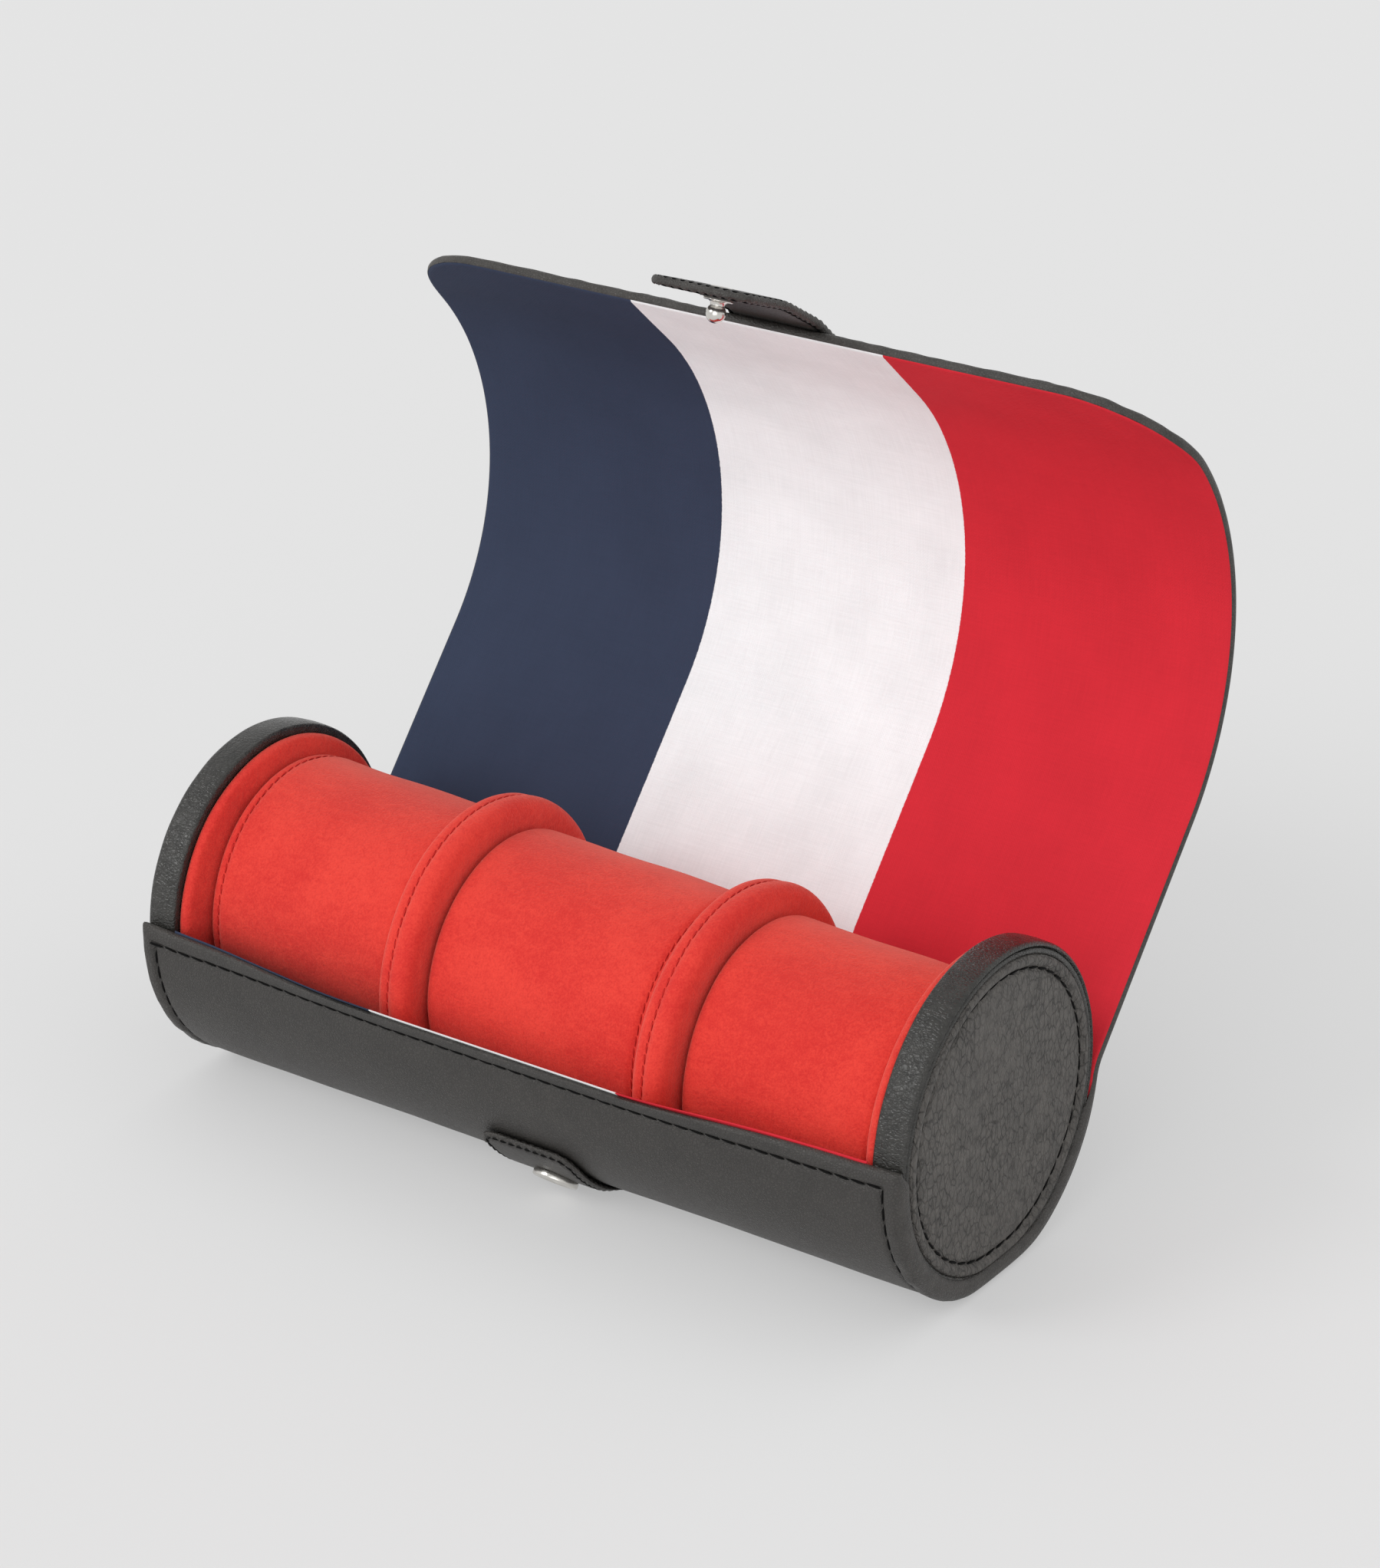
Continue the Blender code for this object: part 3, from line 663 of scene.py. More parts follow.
def make_cotton(name, colours):
    """Printed cotton: three fields across the cut, under one fine weave."""
    tree, shader = named_tree(name)
    cut = add_node(tree, "ShaderNodeAttribute", attribute_name="cut").outputs["Vector"]
    weave = placed(tree, "Plain weave", {"Vector": cut})
    bleed = noise_of(tree, cut, 1500.0, 2.0)
    across = add_node(tree, "ShaderNodeSeparateXYZ", {0: cut}).outputs["X"]
    across = calc(tree, "MULTIPLY_ADD", calc(tree, "SUBTRACT", bleed.outputs["Fac"], 0.5), 0.0003, across)
    soft = 0.00012
    first = ramp(tree, across, colours.navy_edge - soft, colours.navy_edge + soft)
    second = ramp(tree, across, colours.red_edge - soft, colours.red_edge + soft)
    base = mixed(tree, first, tuple(colours.navy), tuple(colours.white))
    base = mixed(tree, second, base, tuple(colours.red))
    shade = ramp(tree, weave["Tone"], 0.2, 0.8, 0.90, 1.07)
    shaded = add_node(tree, "ShaderNodeVectorMath", {0: base, "Scale": shade}, operation="SCALE")
    feed(tree, shaded.outputs["Vector"], shader.inputs["Base Color"])
    feed(tree, bumped(tree, weave["Height"], 0.28, 0.0002), shader.inputs["Normal"])
    shader.inputs["Roughness"].default_value = 0.85
    shader.inputs["Specular IOR Level"].default_value = 0.15


def make_thread(name, tint):
    tree, shader = named_tree(name)
    place = object_place(tree)
    strands = add_node(tree, "ShaderNodeTexWave", {"Vector": place, "Scale": 900.0, "Distortion": 2.0})
    feed(tree, mixed(tree, strands.outputs["Fac"], tint, tuple(c * 1.8 for c in tint)), shader.inputs["Base Color"])
    feed(tree, bumped(tree, strands.outputs["Fac"], 0.5, 0.0001), shader.inputs["Normal"])
    shader.inputs["Roughness"].default_value = 0.8
    shader.inputs["Specular IOR Level"].default_value = 0.12


def make_metal(name, tint):
    tree, shader = named_tree(name)
    place = object_place(tree)
    marks = noise_of(tree, place, 700.0, 4.0)
    feed(tree, mixed(tree, marks.outputs["Fac"], tuple(c * 0.9 for c in tint), tint), shader.inputs["Base Color"])
    feed(tree, ramp(tree, marks.outputs["Fac"], 0.2, 0.8, 0.14, 0.28), shader.inputs["Roughness"])
    feed(tree, bumped(tree, marks.outputs["Fac"], 0.05, 0.0001), shader.inputs["Normal"])
    shader.inputs["Metallic"].default_value = 1.0


def make_board(name, tint):
    tree, shader = named_tree(name)
    place = object_place(tree)
    flecks = noise_of(tree, scaled(tree, place, (4.0, 1.0, 1.0)), 800.0, 4.0)
    feed(tree, mixed(tree, flecks.outputs["Fac"], tuple(c * 0.7 for c in tint), tint), shader.inputs["Base Color"])
    feed(tree, bumped(tree, flecks.outputs["Fac"], 0.3, 0.0002), shader.inputs["Normal"])
    shader.inputs["Roughness"].default_value = 0.85


class WATCHROLL_OT_finishes(bpy.types.Operator):
    """Make the shared node groups and the materials"""
    bl_idname = "watch_roll.finishes"
    bl_label = "Finishes"

    def execute(self, context):
        colours = context.scene.wr_colours
        make_grain_group()
        make_nap_group()
        make_weave_group()
        make_wear_group()
        leather = tuple(colours.leather)
        make_leather("black_leather", leather, 0.42, 0.60, pebble=1300.0, creases=620.0, depth=0.16)
        # the disc's deeper creases also make their painted shade darker
        make_leather("disc_leather", tuple(c * 1.75 for c in leather), 0.46, 0.6, pebble=1500.0, creases=600.0,
                     depth=1.1, stretch=(1.0, 1.0, 0.5))
        make_leather("rim_leather", tuple(colours.rim), 0.21, 0.45, pebble=1300.0, creases=620.0, depth=0.5,
                     stretch=(0.6, 1.0, 1.0))
        make_suede("red_suede", tuple(colours.suede), tuple(colours.suede_dark))
        make_cotton("lining_cotton", colours)
        make_thread("black_thread", tuple(colours.thread))
        make_thread("red_thread", tuple(c * 0.55 for c in colours.suede_dark))
        make_metal("nickel", tuple(colours.nickel))
        make_board("grey_board", tuple(colours.board))
        return {"FINISHED"}


# Stitches

def walked(path, pitch):
    """Places and directions of the stitches along a path of flat points."""
    lengths = [(b - a).length for a, b in zip(path, path[1:])]
    total = sum(lengths)
    count = max(1, round(total / pitch))
    found = []
    for i in range(count):
        left = total * (i + 0.5) / count
        for start, end, length in zip(path, path[1:], lengths):
            if left <= length:
                break
            left -= length
        direction = (end - start).normalized()
        found.append((start + direction * left, direction))
    return found


def sewn(name, path, surface, pitch, finish="black_thread", skip=None, thickness=1.0):
    """Stitches along a flat path, lying on the surface, as one piece."""
    thread = bpy.context.scene.wr_thread
    half = pitch * thread.length / 2
    bm = bmesh.new()
    for spot, direction in walked(path, pitch):
        if skip and skip(spot):
            continue
        slant = Vector((-direction.y, direction.x)) * thread.slant
        back, front = spot - direction * half - slant, spot + direction * half + slant
        start, end = surface(back.x, back.y, 0.0), surface(front.x, front.y, 0.0)
        along = (end - start).normalized()
        out = surface(spot.x, spot.y, 0.001) - surface(spot.x, spot.y, 0.0)
        out = (out - out.dot(along) * along).normalized()
        turn = Matrix((along, out.cross(along), out)).transposed().to_4x4()
        shape = Matrix.Diagonal((half, thread.radius * thickness, thread.radius * thickness, 1.0))
        bmesh.ops.create_uvsphere(bm, u_segments=8, v_segments=6, radius=1.0,
                                  matrix=Matrix.Translation((start + end) / 2) @ turn @ shape)
    return new_piece(bm, name, finish)


def rounded_path(half_width, start, end, corner, steps=10):
    """A flat path up one side of a cut, round its two corners and down the other side."""
    centre = Vector((half_width - corner, end - corner))
    turns = [pi / 2 * i / steps for i in range(steps + 1)]
    right = [centre + corner * Vector((cos(a), sin(a))) for a in turns]
    path = [Vector((half_width, start))] + right
    return path + [Vector((-p.x, p.y)) for p in reversed(path)]


# Tray and flap

FINE = (0.0, 0.0002, 0.0005, 0.00085, 0.0013, 0.0020, 0.0028, 0.0034, 0.0038, 0.0042, 0.0046, 0.0050, 0.0058, 0.0070)


def rounding(inside, reach):
    return sqrt(max(0.0, 1 - (1 - min(1.0, inside / reach)) ** 2))


def sheet_end():
    return length_of(sheet_section())


def welt_at(run):
    """1 along the tray, where the leather's end rolls over onto the cap's face, and 0 on the flap."""
    wrap = sheet_section()[0][0]
    return smooth_step(run, 0.0, 0.0045) * (1 - smooth_step(run, wrap - 0.010, wrap - 0.001))


def cover_place(x, run, offset):
    """The leather's place, which bulges past the cap's face along the tray's ends."""
    side = bpy.context.scene.wr_sheet.half_length - abs(x)
    bulge = EDGE_ROLL * welt_at(run) * (1 - smooth_step(side, 0.0, 0.0022))
    return sheet_place(x + (bulge if x > 0 else -bulge), run, offset)


def edge_middle(run):
    """How far out the leather's edge lies: at half the sheets' thickness, or lower on the welt."""
    sheet = bpy.context.scene.wr_sheet
    return (sheet.cotton + sheet.gap + sheet.leather - sheet.welt * welt_at(run)) / 2


def cover_outer(inside, x, run):
    """The leather's outer face: puffed between its edge and the stitches, which lie in a furrow."""
    sheet = bpy.context.scene.wr_sheet
    top = sheet.cotton + sheet.gap + sheet.leather
    hem = 1 - smooth_step(inside, sheet.stitch_inset - 0.0012, sheet.stitch_inset)
    hem *= smooth_step(inside, 0.0, 0.0016)
    pucker = 0.6 + 0.8 * noise.noise(Vector((x, run, 0.3)) * 240.0)
    top += EDGE_PUFF * hem * pucker
    top -= EDGE_FURROW * dip(inside - sheet.stitch_inset, FURROW_REACH)
    loose = sum(noise.noise(Vector((x, run, seed)) * scale) * height for scale, seed, height in LOOSE_WAVES)
    top += loose * smooth_step(inside, sheet.stitch_inset, sheet.stitch_inset + 0.006)
    middle = edge_middle(run)
    return middle + (top - middle) * rounding(inside, sheet.rim_round * (1 + 0.35 * welt_at(run)))


def cover_inner(inside, x, run):
    """The leather's inner face, which stands up beside the lining at the edge."""
    sheet = bpy.context.scene.wr_sheet
    rolled = welt_at(run)
    start = sheet.lining_margin + 0.0006 * rolled
    lip = -(sheet.welt - sheet.cotton - sheet.gap) * rolled
    seat = lip + (sheet.cotton + sheet.gap - lip) * smooth_step(inside, start - 0.0001, start + 0.0004)
    middle = edge_middle(run)
    return middle + (seat - middle) * rounding(inside, sheet.rim_round * (1 - 0.3 * rolled))


def cover_surface(x, run, rise):
    sheet = bpy.context.scene.wr_sheet
    inside = edge_distance(x, run, sheet_end(), sheet.half_length, sheet.corner)
    return cover_place(x, run, cover_outer(inside, x, run) + THREAD_CLEAR + rise)


class WATCHROLL_OT_cover(bpy.types.Operator):
    """Make the leather sheet that is the tray and the flap, with its stitches"""
    bl_idname = "watch_roll.cover"
    bl_label = "Leather sheet"

    def execute(self, context):
        sheet, thread, tabs = context.scene.wr_sheet, context.scene.wr_thread, context.scene.wr_tabs
        across = graded(FINE, -sheet.half_length, sheet.half_length, 0.0022)
        along = graded(FINE, 0.0, sheet_end(), 0.0020)
        bm = cut_grid(cover_place, across, along, sheet.half_length, sheet.corner, (cover_inner, cover_outer))
        settle(new_piece(bm, "leather_sheet", "black_leather"), "black_leather", "outer_cover")

        inset = sheet.stitch_inset
        half, end = sheet.half_length - inset, sheet_end() - inset
        path = rounded_path(half, inset, end, sheet.corner - inset)
        path.append(path[0])

        def under_tab(spot):
            return spot.y > end - 0.004 and abs(spot.x - tabs.x) < tabs.width / 2 + 0.001

        stitches = sewn("sheet_stitches", path, cover_surface, thread.pitch, skip=under_tab)
        settle(stitches, "black_leather")
        return {"FINISHED"}


def lining_place(x, run, offset):
    """The lining's place: narrower along the tray's front edge, where it ends at the caps."""
    sheet, caps = bpy.context.scene.wr_sheet, bpy.context.scene.wr_caps
    full = sheet.half_length - sheet.lining_margin
    between = caps.face_x - caps.band_width - 0.0006
    start = between - TUCK_START
    if abs(x) > start:
        narrow = start + (abs(x) - start) * (between - start) / (full - start)
        share = smooth_step(run, *TUCK_REACH)
        x = (narrow + (abs(x) - narrow) * share) * (1 if x > 0 else -1)
    hidden = 0.75 * sheet.lining_rise * (1 - max(0.0, wall_give(x)))
    return sheet_place(x, run - sheet.lining_rise + hidden * (1 - smooth_step(run, 0.0, 0.02)), offset)


class WATCHROLL_OT_lining(bpy.types.Operator):
    """Make the cotton lining, one sheet through the tray and up the flap"""
    bl_idname = "watch_roll.lining"
    bl_label = "Lining"

    def execute(self, context):
        sheet = context.scene.wr_sheet
        half = sheet.half_length - sheet.lining_margin
        length = sheet_end() - sheet.lining_margin + sheet.lining_rise
        corner = sheet.corner - sheet.lining_margin
        across = graded((0.0, 0.0003, 0.0008, 0.0018, 0.0035), -half, half, 0.0024)
        along = graded((0.0, 0.0003, 0.0008, 0.0018, 0.0035), 0.0, length, 0.0022)

        def under(inside, x, run):
            return sheet.cotton * (0.5 + 0.5 * smooth_step(inside, 0.0, 0.0004))

        def over(inside, x, run):
            ripple = 0.00006 * noise.noise(Vector((x, run, 0.2)) * 60.0) * smooth_step(inside, 0.0, 0.010)
            return ripple + sheet.cotton * 0.5 * (1 - smooth_step(inside, 0.0, 0.0004))

        bm = cut_grid(lining_place, across, along, half, corner, (over, under))
        lining = settle(new_piece(bm, "cotton_lining", "lining_cotton"), "lining_cotton", "lining")
        return {"FINISHED"}


# End caps

def cap_place(drop=0.0, crease=0.0):
    """A place function for the pieces of a cap, pressed flat only near the rim."""
    caps = bpy.context.scene.wr_caps

    def place(co):
        left = co.x < 0
        y, z = co.y, co.z + AXIS_Z - drop
        wave = crease * noise.noise(Vector((co.x * 3, y, z)) * 130.0)
        return Vector((co.x + wave - left * caps.left_out, y, pressed(y, z, 8) + left * caps.left_rise))
    return place


class WATCHROLL_OT_rim_bands(bpy.types.Operator):
    """Make the leather band round each cap, with the thin ring at its face"""
    bl_idname = "watch_roll.rim_bands"
    bl_label = "Rim bands"

    def execute(self, context):
        caps = context.scene.wr_caps
        face, back, rim = caps.face_x, caps.face_x - caps.band_width, CAP_RADIUS
        ring = caps.piping
        bore = rim - caps.band_lip
        profile = [(back + 0.0016, bore), (back + 0.0003, bore + 0.0003), (back, bore + 0.0009)]
        profile += [(back - 0.00005, rim - 0.0013), (back, rim - 0.0008)]
        profile += arc((back + 0.0008, rim - 0.0008), 0.0008, pi * 0.9, pi / 2, 4)
        middle = (back + face) / 2
        profile += [(back + 0.0020, rim + 0.00012), (middle, rim + 0.00018), (face - 0.0024, rim + 0.00005)]
        profile += arc((face - 0.0013, rim - 0.0013), 0.0013, pi / 2, pi * 0.08, 6)
        profile += [(face - 0.0008, rim - 0.00150)]
        profile += arc((face - ring, rim - 0.00155 - ring * 0.75), ring * 0.95, pi * 0.30, -pi * 0.42, 7)
        profile += [(face - 0.0020, rim - 0.0031), (face - 0.0026, rim - 0.0031)]
        profile += [(face - 0.0026, rim - 0.0024), (back + 0.0024, rim - 0.0024)]
        for label, side in (("left", -1), ("right", 1)):
            bm = spun(mirrored(profile, side), cap_place(crease=0.0001), 144, closed=True)
            band = new_piece(bm, f"{label}_band", "rim_leather", sharp=60)
            settle(band, "rim_leather", f"{label}_rim_band")
        return {"FINISHED"}


def disc_face(radius):
    """How far the disc's face stands out at a radius: a puffed border, a furrow and a soft middle."""
    caps = bpy.context.scene.wr_caps
    inside = caps.disc_radius - radius
    border = 0.0006 * smooth_step(inside, 0.0, 0.0009) * (1 - smooth_step(inside, 0.0016, caps.disc_stitch))
    furrow = 0.0006 * dip(inside - caps.disc_stitch, 0.0010)
    middle = 0.0003 * smooth_step(inside, caps.disc_stitch, caps.disc_stitch + 0.004)
    return caps.face_x - 0.0002 + border + middle - furrow


class WATCHROLL_OT_face_discs(bpy.types.Operator):
    """Make the stitched leather disc on the outside of each cap"""
    bl_idname = "watch_roll.face_discs"
    bl_label = "Face discs"

    def execute(self, context):
        caps, thread = context.scene.wr_caps, context.scene.wr_thread
        radius = caps.disc_radius
        steps = [0.0, 0.006, 0.012, 0.018, 0.023, 0.027, 0.0295]
        steps += [radius - d for d in (0.0062, 0.0050, 0.0043, 0.0038, 0.0033, 0.0028, 0.0023, 0.0017, 0.0011,
                                       0.0007, 0.0004, 0.0002)]
        profile = [(disc_face(r), r) for r in steps]
        profile += [(caps.face_x - 0.0009, radius), (caps.face_x - 0.0020, radius), (caps.face_x - 0.0020, 0.0)]
        count = round(2 * pi * (radius - caps.disc_stitch) / thread.pitch)
        turns = [2 * pi * i / (4 * count) for i in range(4 * count + 1)]
        ring = [(radius - caps.disc_stitch) * Vector((cos(a), sin(a))) for a in turns]
        for label, side in (("left", -1), ("right", 1)):
            place = cap_place(crease=0.00012)
            bm = spun(mirrored(profile, side), place, 144)
            disc = new_piece(bm, f"{label}_disc", "disc_leather", sharp=60)
            settle(disc, "black_leather", f"{label}_face_disc")

            def surface(y, z, rise, side=side, place=place):
                return place(Vector((side * (disc_face(hypot(y, z)) + THREAD_CLEAR + rise), y, z)))

            pitch = 2 * pi * (radius - caps.disc_stitch) / count
            stitches = sewn(f"{label}_disc_stitches", ring, surface, pitch)
            settle(stitches, "black_leather")
        return {"FINISHED"}


# Padding

def fill_out(pieces):
    """Let pressure fill the pieces as cloth, held at their seams, and keep where they come to.

    Each piece comes with the most that any of its points may move.
    """
    padding = bpy.context.scene.wr_padding
    for piece, swell in pieces:
        cloth = piece.modifiers.new("Filling", "CLOTH")
        cloth.settings.quality = 6
        cloth.settings.mass = 0.12
        cloth.settings.tension_stiffness = 18
        cloth.settings.compression_stiffness = 18
        cloth.settings.shear_stiffness = 8
        cloth.settings.bending_stiffness = 0.6
        cloth.settings.use_pressure = True
        cloth.settings.uniform_pressure_force = padding.pressure
        cloth.settings.effector_weights.gravity = 0.0
        cloth.settings.vertex_group_mass = "held"
        cloth.collision_settings.use_collision = False
        cloth.point_cache.frame_start = 1
        cloth.point_cache.frame_end = padding.frames
    for frame in range(1, padding.frames + 1):
        bpy.context.scene.frame_set(frame)
    graph = bpy.context.evaluated_depsgraph_get()
    for piece, swell in pieces:
        filled = [vert.co.copy() for vert in piece.evaluated_get(graph).data.vertices]
        piece.modifiers.remove(piece.modifiers["Filling"])
        for vert, place in zip(piece.data.vertices, filled):
            move = place - vert.co
            if move.length > swell:
                move *= swell / move.length
            vert.co += move
    bpy.context.scene.frame_set(1)


def cushion_profile(start, end, radius, end_round, seams):
    """The (x, r) profile of a stuffed roll, with close rings at its seams."""
    flat = [(radius - end_round) * share for share in (0.0, 0.2, 0.4, 0.6, 0.8, 0.92)]
    left = [(start, r) for r in flat] + arc((start + end_round, radius - end_round), end_round, pi, pi / 2, 4)
    right = arc((end - end_round, radius - end_round), end_round, pi / 2, 0, 4) + [(end, r) for r in reversed(flat)]
    low, high = start + end_round, end - end_round
    count = max(2, ceil((high - low) / 0.0027))
    rings = [low + (high - low) * i / count for i in range(1, count)]
    near = [seam + step for seam in seams for step in (-0.0012, -0.0006, 0.0, 0.0006, 0.0012)]
    near = [x for x in near if low + 0.0002 < x < high - 0.0002]
    rings = [x for x in rings if all(abs(x - other) > 0.0008 for other in near)]
    return left + [(x, radius) for x in sorted(rings + near)] + right


def row_middle(x):
    """The height of the row's own axis, which slopes down to the right."""
    padding = bpy.context.scene.wr_padding
    return AXIS_Z - padding.seat_drop - padding.seat_slope * x


def in_row(co):
    """A point of a cushion or divider in the row, kept inside the tray."""
    y, z = co.y, co.z + row_middle(co.x) - AXIS_Z
    kept = min(1.0, CAP_RADIUS / max(hypot(y, z), 1e-6))
    return Vector((co.x, y * kept, pressed(y * kept, z * kept + AXIS_Z)))


def stuffed(name, profile, seams, place):
    """A roll of suede with the points on its seams and ends held."""
    bm = spun(profile, place, 72)
    piece = new_piece(bm, name, "red_suede", sharp=80)
    held = piece.vertex_groups.new(name="held")
    ends = (profile[0][0], profile[-1][0])
    for vert in piece.data.vertices:
        on_end = min(abs(vert.co.x - x) for x in ends) < 1e-5
        on_seam = any(abs(vert.co.x - seam) < 1e-5 for seam in seams)
        if on_end or on_seam:
            held.add([vert.index], 1.0 if on_seam else 0.9, "REPLACE")
    return piece


def softened(point, middle):
    """A point moved by the slow dents and swells in the filling."""
    out = point - Vector((point.x, 0.0, middle))
    if out.length < 0.004:
        return point
    return point + out.normalized() * DENT * noise.noise(point * 55.0)


def furrowed(point, middle, seams, depth):
    """A point pressed in along the seams, with a small pucker from stitch to stitch."""
    out = point - Vector((point.x, 0.0, middle))
    share = max((dip(point.x - seam, SEAM_REACH) for seam in seams), default=0.0)
    if out.length < 0.020 or not share:
        return point
    return point - out.normalized() * depth * share * (1 + 0.35 * noise.noise(point * 240.0))


class WATCHROLL_OT_padding(bpy.types.Operator):
    """Make the cushions, the dividers and the caps' inner pads, filled as cloth, with their seams"""
    bl_idname = "watch_roll.padding"
    bl_label = "Padding"

    def sew_ring(self, name, seam, radius, depth):
        """Stitches round a cushion or divider, in the furrow of its seam."""
        def surface(x, around, rise):
            turn = around / radius
            point = softened(in_row(Vector((x, radius * sin(turn), radius * cos(turn)))), row_middle(x))
            out = (point - Vector((x, 0.0, row_middle(x)))).normalized()
            return point + out * (rise - depth + 0.0002)

        ring = [Vector((seam, pi * radius * step / 36)) for step in range(-36, 37)]
        pitch = bpy.context.scene.wr_padding.stitch
        settle(sewn(name, ring, surface, pitch, "red_thread", thickness=0.75), "red_suede")

    def execute(self, context):
        padding, caps = context.scene.wr_padding, context.scene.wr_caps
        made = []
        for label in ("left", "middle", "right"):
            low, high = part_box(f"{label}_cushion")
            start, end = low.x + 0.0003, high.x - 0.0003
            seams = [start + padding.cushion_hem] if label == "left" else [end - padding.cushion_hem]
            profile = cushion_profile(start, end, padding.cushion_radius, padding.cushion_end, seams)
            piece = stuffed(f"{label}_watch_cushion", profile, seams, in_row)
            made.append((piece, f"{label}_cushion", seams, CUSHION_FURROW, CUSHION_FILL, padding.swell))
        for label in ("left", "right"):
            low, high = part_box(f"{label}_divider")
            start, end = low.x + 0.0002, high.x - 0.0002
            seams = [start + (end - start) * padding.divider_seam]
            profile = cushion_profile(start, end, padding.divider_radius, padding.divider_end, seams)
            piece = stuffed(f"{label}_padded_divider", profile, seams, in_row)
            made.append((piece, f"{label}_divider", seams, DIVIDER_FURROW, DIVIDER_FILL, padding.swell / 2))
        for label, side in (("left", -1), ("right", 1)):
            face, back = caps.pad_face, caps.face_x - caps.band_width + 0.0012
            profile = [(face, 0.0), (face, 0.012), (face, 0.022), (face, 0.029), (face, 0.033), (face, 0.0355)]
            profile += arc((face + 0.0022, caps.pad_radius - 0.0022), 0.0022, pi, pi / 2, 6)
            step, seat = back - 0.0015, CAP_RADIUS - caps.band_lip - 0.0004
            profile += [(step, caps.pad_radius), (step, seat), (back, seat), (back, 0.0)]
            piece = stuffed(f"{label}_cap_pad", mirrored(profile, side), [side * back], cap_place(0.0006))
            made.append((piece, f"{label}_inner_pad", [], 0.0, PAD_FILL, padding.swell / 2))
        fill_out([(piece, swell) for piece, *rest, swell in made])
        for piece, node, seams, depth, fill, swell in made:
            for vert in piece.data.vertices:
                middle = row_middle(vert.co.x) if seams else AXIS_Z
                vert.co = furrowed(softened(vert.co, middle), middle, seams, depth)
            finer = piece.modifiers.new("Smooth", "SUBSURF")
            finer.levels = finer.render_levels = 1
            settle(piece, "red_suede", node)
            radius = padding.divider_radius if "divider" in node else padding.cushion_radius
            for seam in seams:
                self.sew_ring(f"{node}_stitches", seam, radius, depth)
        return {"FINISHED"}


# Tabs and their fastener

def flap_tab_section():
    tabs = bpy.context.scene.wr_tabs
    return (
        (tabs.sewn, 0.0),
        (tabs.root_radius * tabs.root_bend, 1 / tabs.root_radius),
        (tabs.straight, 0.0),
        (tabs.bend_radius * tabs.bend, 1 / tabs.bend_radius),
        (tabs.end, 0.0),
    )


def flap_tab_point(distance):
    """A point on the flap tab's inner face, and its heading."""
    tabs, sheet = bpy.context.scene.wr_tabs, bpy.context.scene.wr_sheet
    outside = sheet.cotton + sheet.gap + sheet.leather + CLEARANCE
    start, tip = (sheet_place(tabs.x, sheet_end() - back, outside) for back in (tabs.sewn, 0.0))
    heading = Vector((1, 0)).angle_signed(Vector((tip.y - start.y, tip.z - start.z))) * -1
    return follow(flap_tab_section(), (start.y, start.z), heading, distance)


def flap_tab_place(x, run, offset):
    point, heading = flap_tab_point(run)
    x += bpy.context.scene.wr_tabs.x
    return Vector((x, point.x + offset * sin(heading), point.y - offset * cos(heading)))


def front_tab_reach():
    tabs = bpy.context.scene.wr_tabs
    return (COVER_RADIUS + CLEARANCE) * (tabs.tip - tabs.root)


def front_tab_place(x, run, offset):
    tabs = bpy.context.scene.wr_tabs
    share = run / front_tab_reach()
    turn = tabs.root + (tabs.tip - tabs.root) * share
    radius = COVER_RADIUS + CLEARANCE + tabs.spring * share ** 2
    radius += offset * (0.4 + 0.6 * smooth_step(run, 0.0, 0.009))
    return Vector((tabs.x - tabs.front_shift + x, -radius * sin(turn), AXIS_Z - radius * cos(turn)))


class WATCHROLL_OT_tabs(bpy.types.Operator):
    """Make the two closing tabs with their stitches"""
    bl_idname = "watch_roll.tabs"
    bl_label = "Closing tabs"

    def execute(self, context):
        tabs, thread = context.scene.wr_tabs, context.scene.wr_thread
        half, pitch = tabs.width / 2, thread.tab_pitch
        fine = (0.0, 0.0002, 0.0005, 0.0009, 0.0013, 0.0016, 0.0019, 0.0024, 0.0032)
        made = (("flap", flap_tab_place, length_of(flap_tab_section()), tabs.thickness),
                ("front", front_tab_place, front_tab_reach(), tabs.front_thickness))
        for label, place, end, thick in made:
            def bulge(inside, x, run, end=end, thick=thick):
                """Half the thickness at a point: rounded at the edge and drawn in at each stitch."""
                along = run if half - abs(x) < end - run else x
                drawn = tabs.scallop * (0.5 - 0.5 * cos(2 * pi * along / pitch)) * dip(inside - 0.0010, 0.0022)
                furrow = 0.0003 * dip(inside - tabs.stitch_inset, 0.0008)
                return max(0.0, thick / 2 - drawn - furrow) * rounding(inside, 0.0011)

            def outer(inside, x, run, thick=thick, bulge=bulge):
                return thick / 2 + bulge(inside, x, run)

            def inner(inside, x, run, thick=thick, bulge=bulge):
                return thick / 2 - bulge(inside, x, run)

            across = graded(fine, -half, half, 0.0006)
            along = graded(fine, 0.0, end, 0.0006)
            bm = cut_grid(place, across, along, half, tabs.corner, (inner, outer))
            settle(new_piece(bm, f"{label}_closing_tab", "black_leather"), "black_leather", f"{label}_tab")
            inset = tabs.stitch_inset
            path = rounded_path(half - inset, 0.0, end - inset, tabs.corner - inset, 6)
            for face, sign in (("outer", 1), ("inner", -1)):
                def surface(x, run, rise, place=place, sign=sign, end=end, thick=thick, bulge=bulge):
                    inside = edge_distance(x, run, end, half, tabs.corner, open_start=True)
                    return place(x, run, thick / 2 + sign * (bulge(inside, x, run) + 0.00008 + rise))

                stitches = sewn(f"{label}_tab_{face}_stitches", path, surface, pitch, thickness=0.7)
                settle(stitches, "black_leather")
        return {"FINISHED"}


def facing(point, outward):
    turn = outward.to_track_quat("Z", "X").to_matrix().to_4x4()
    return Matrix.Translation(point) @ turn


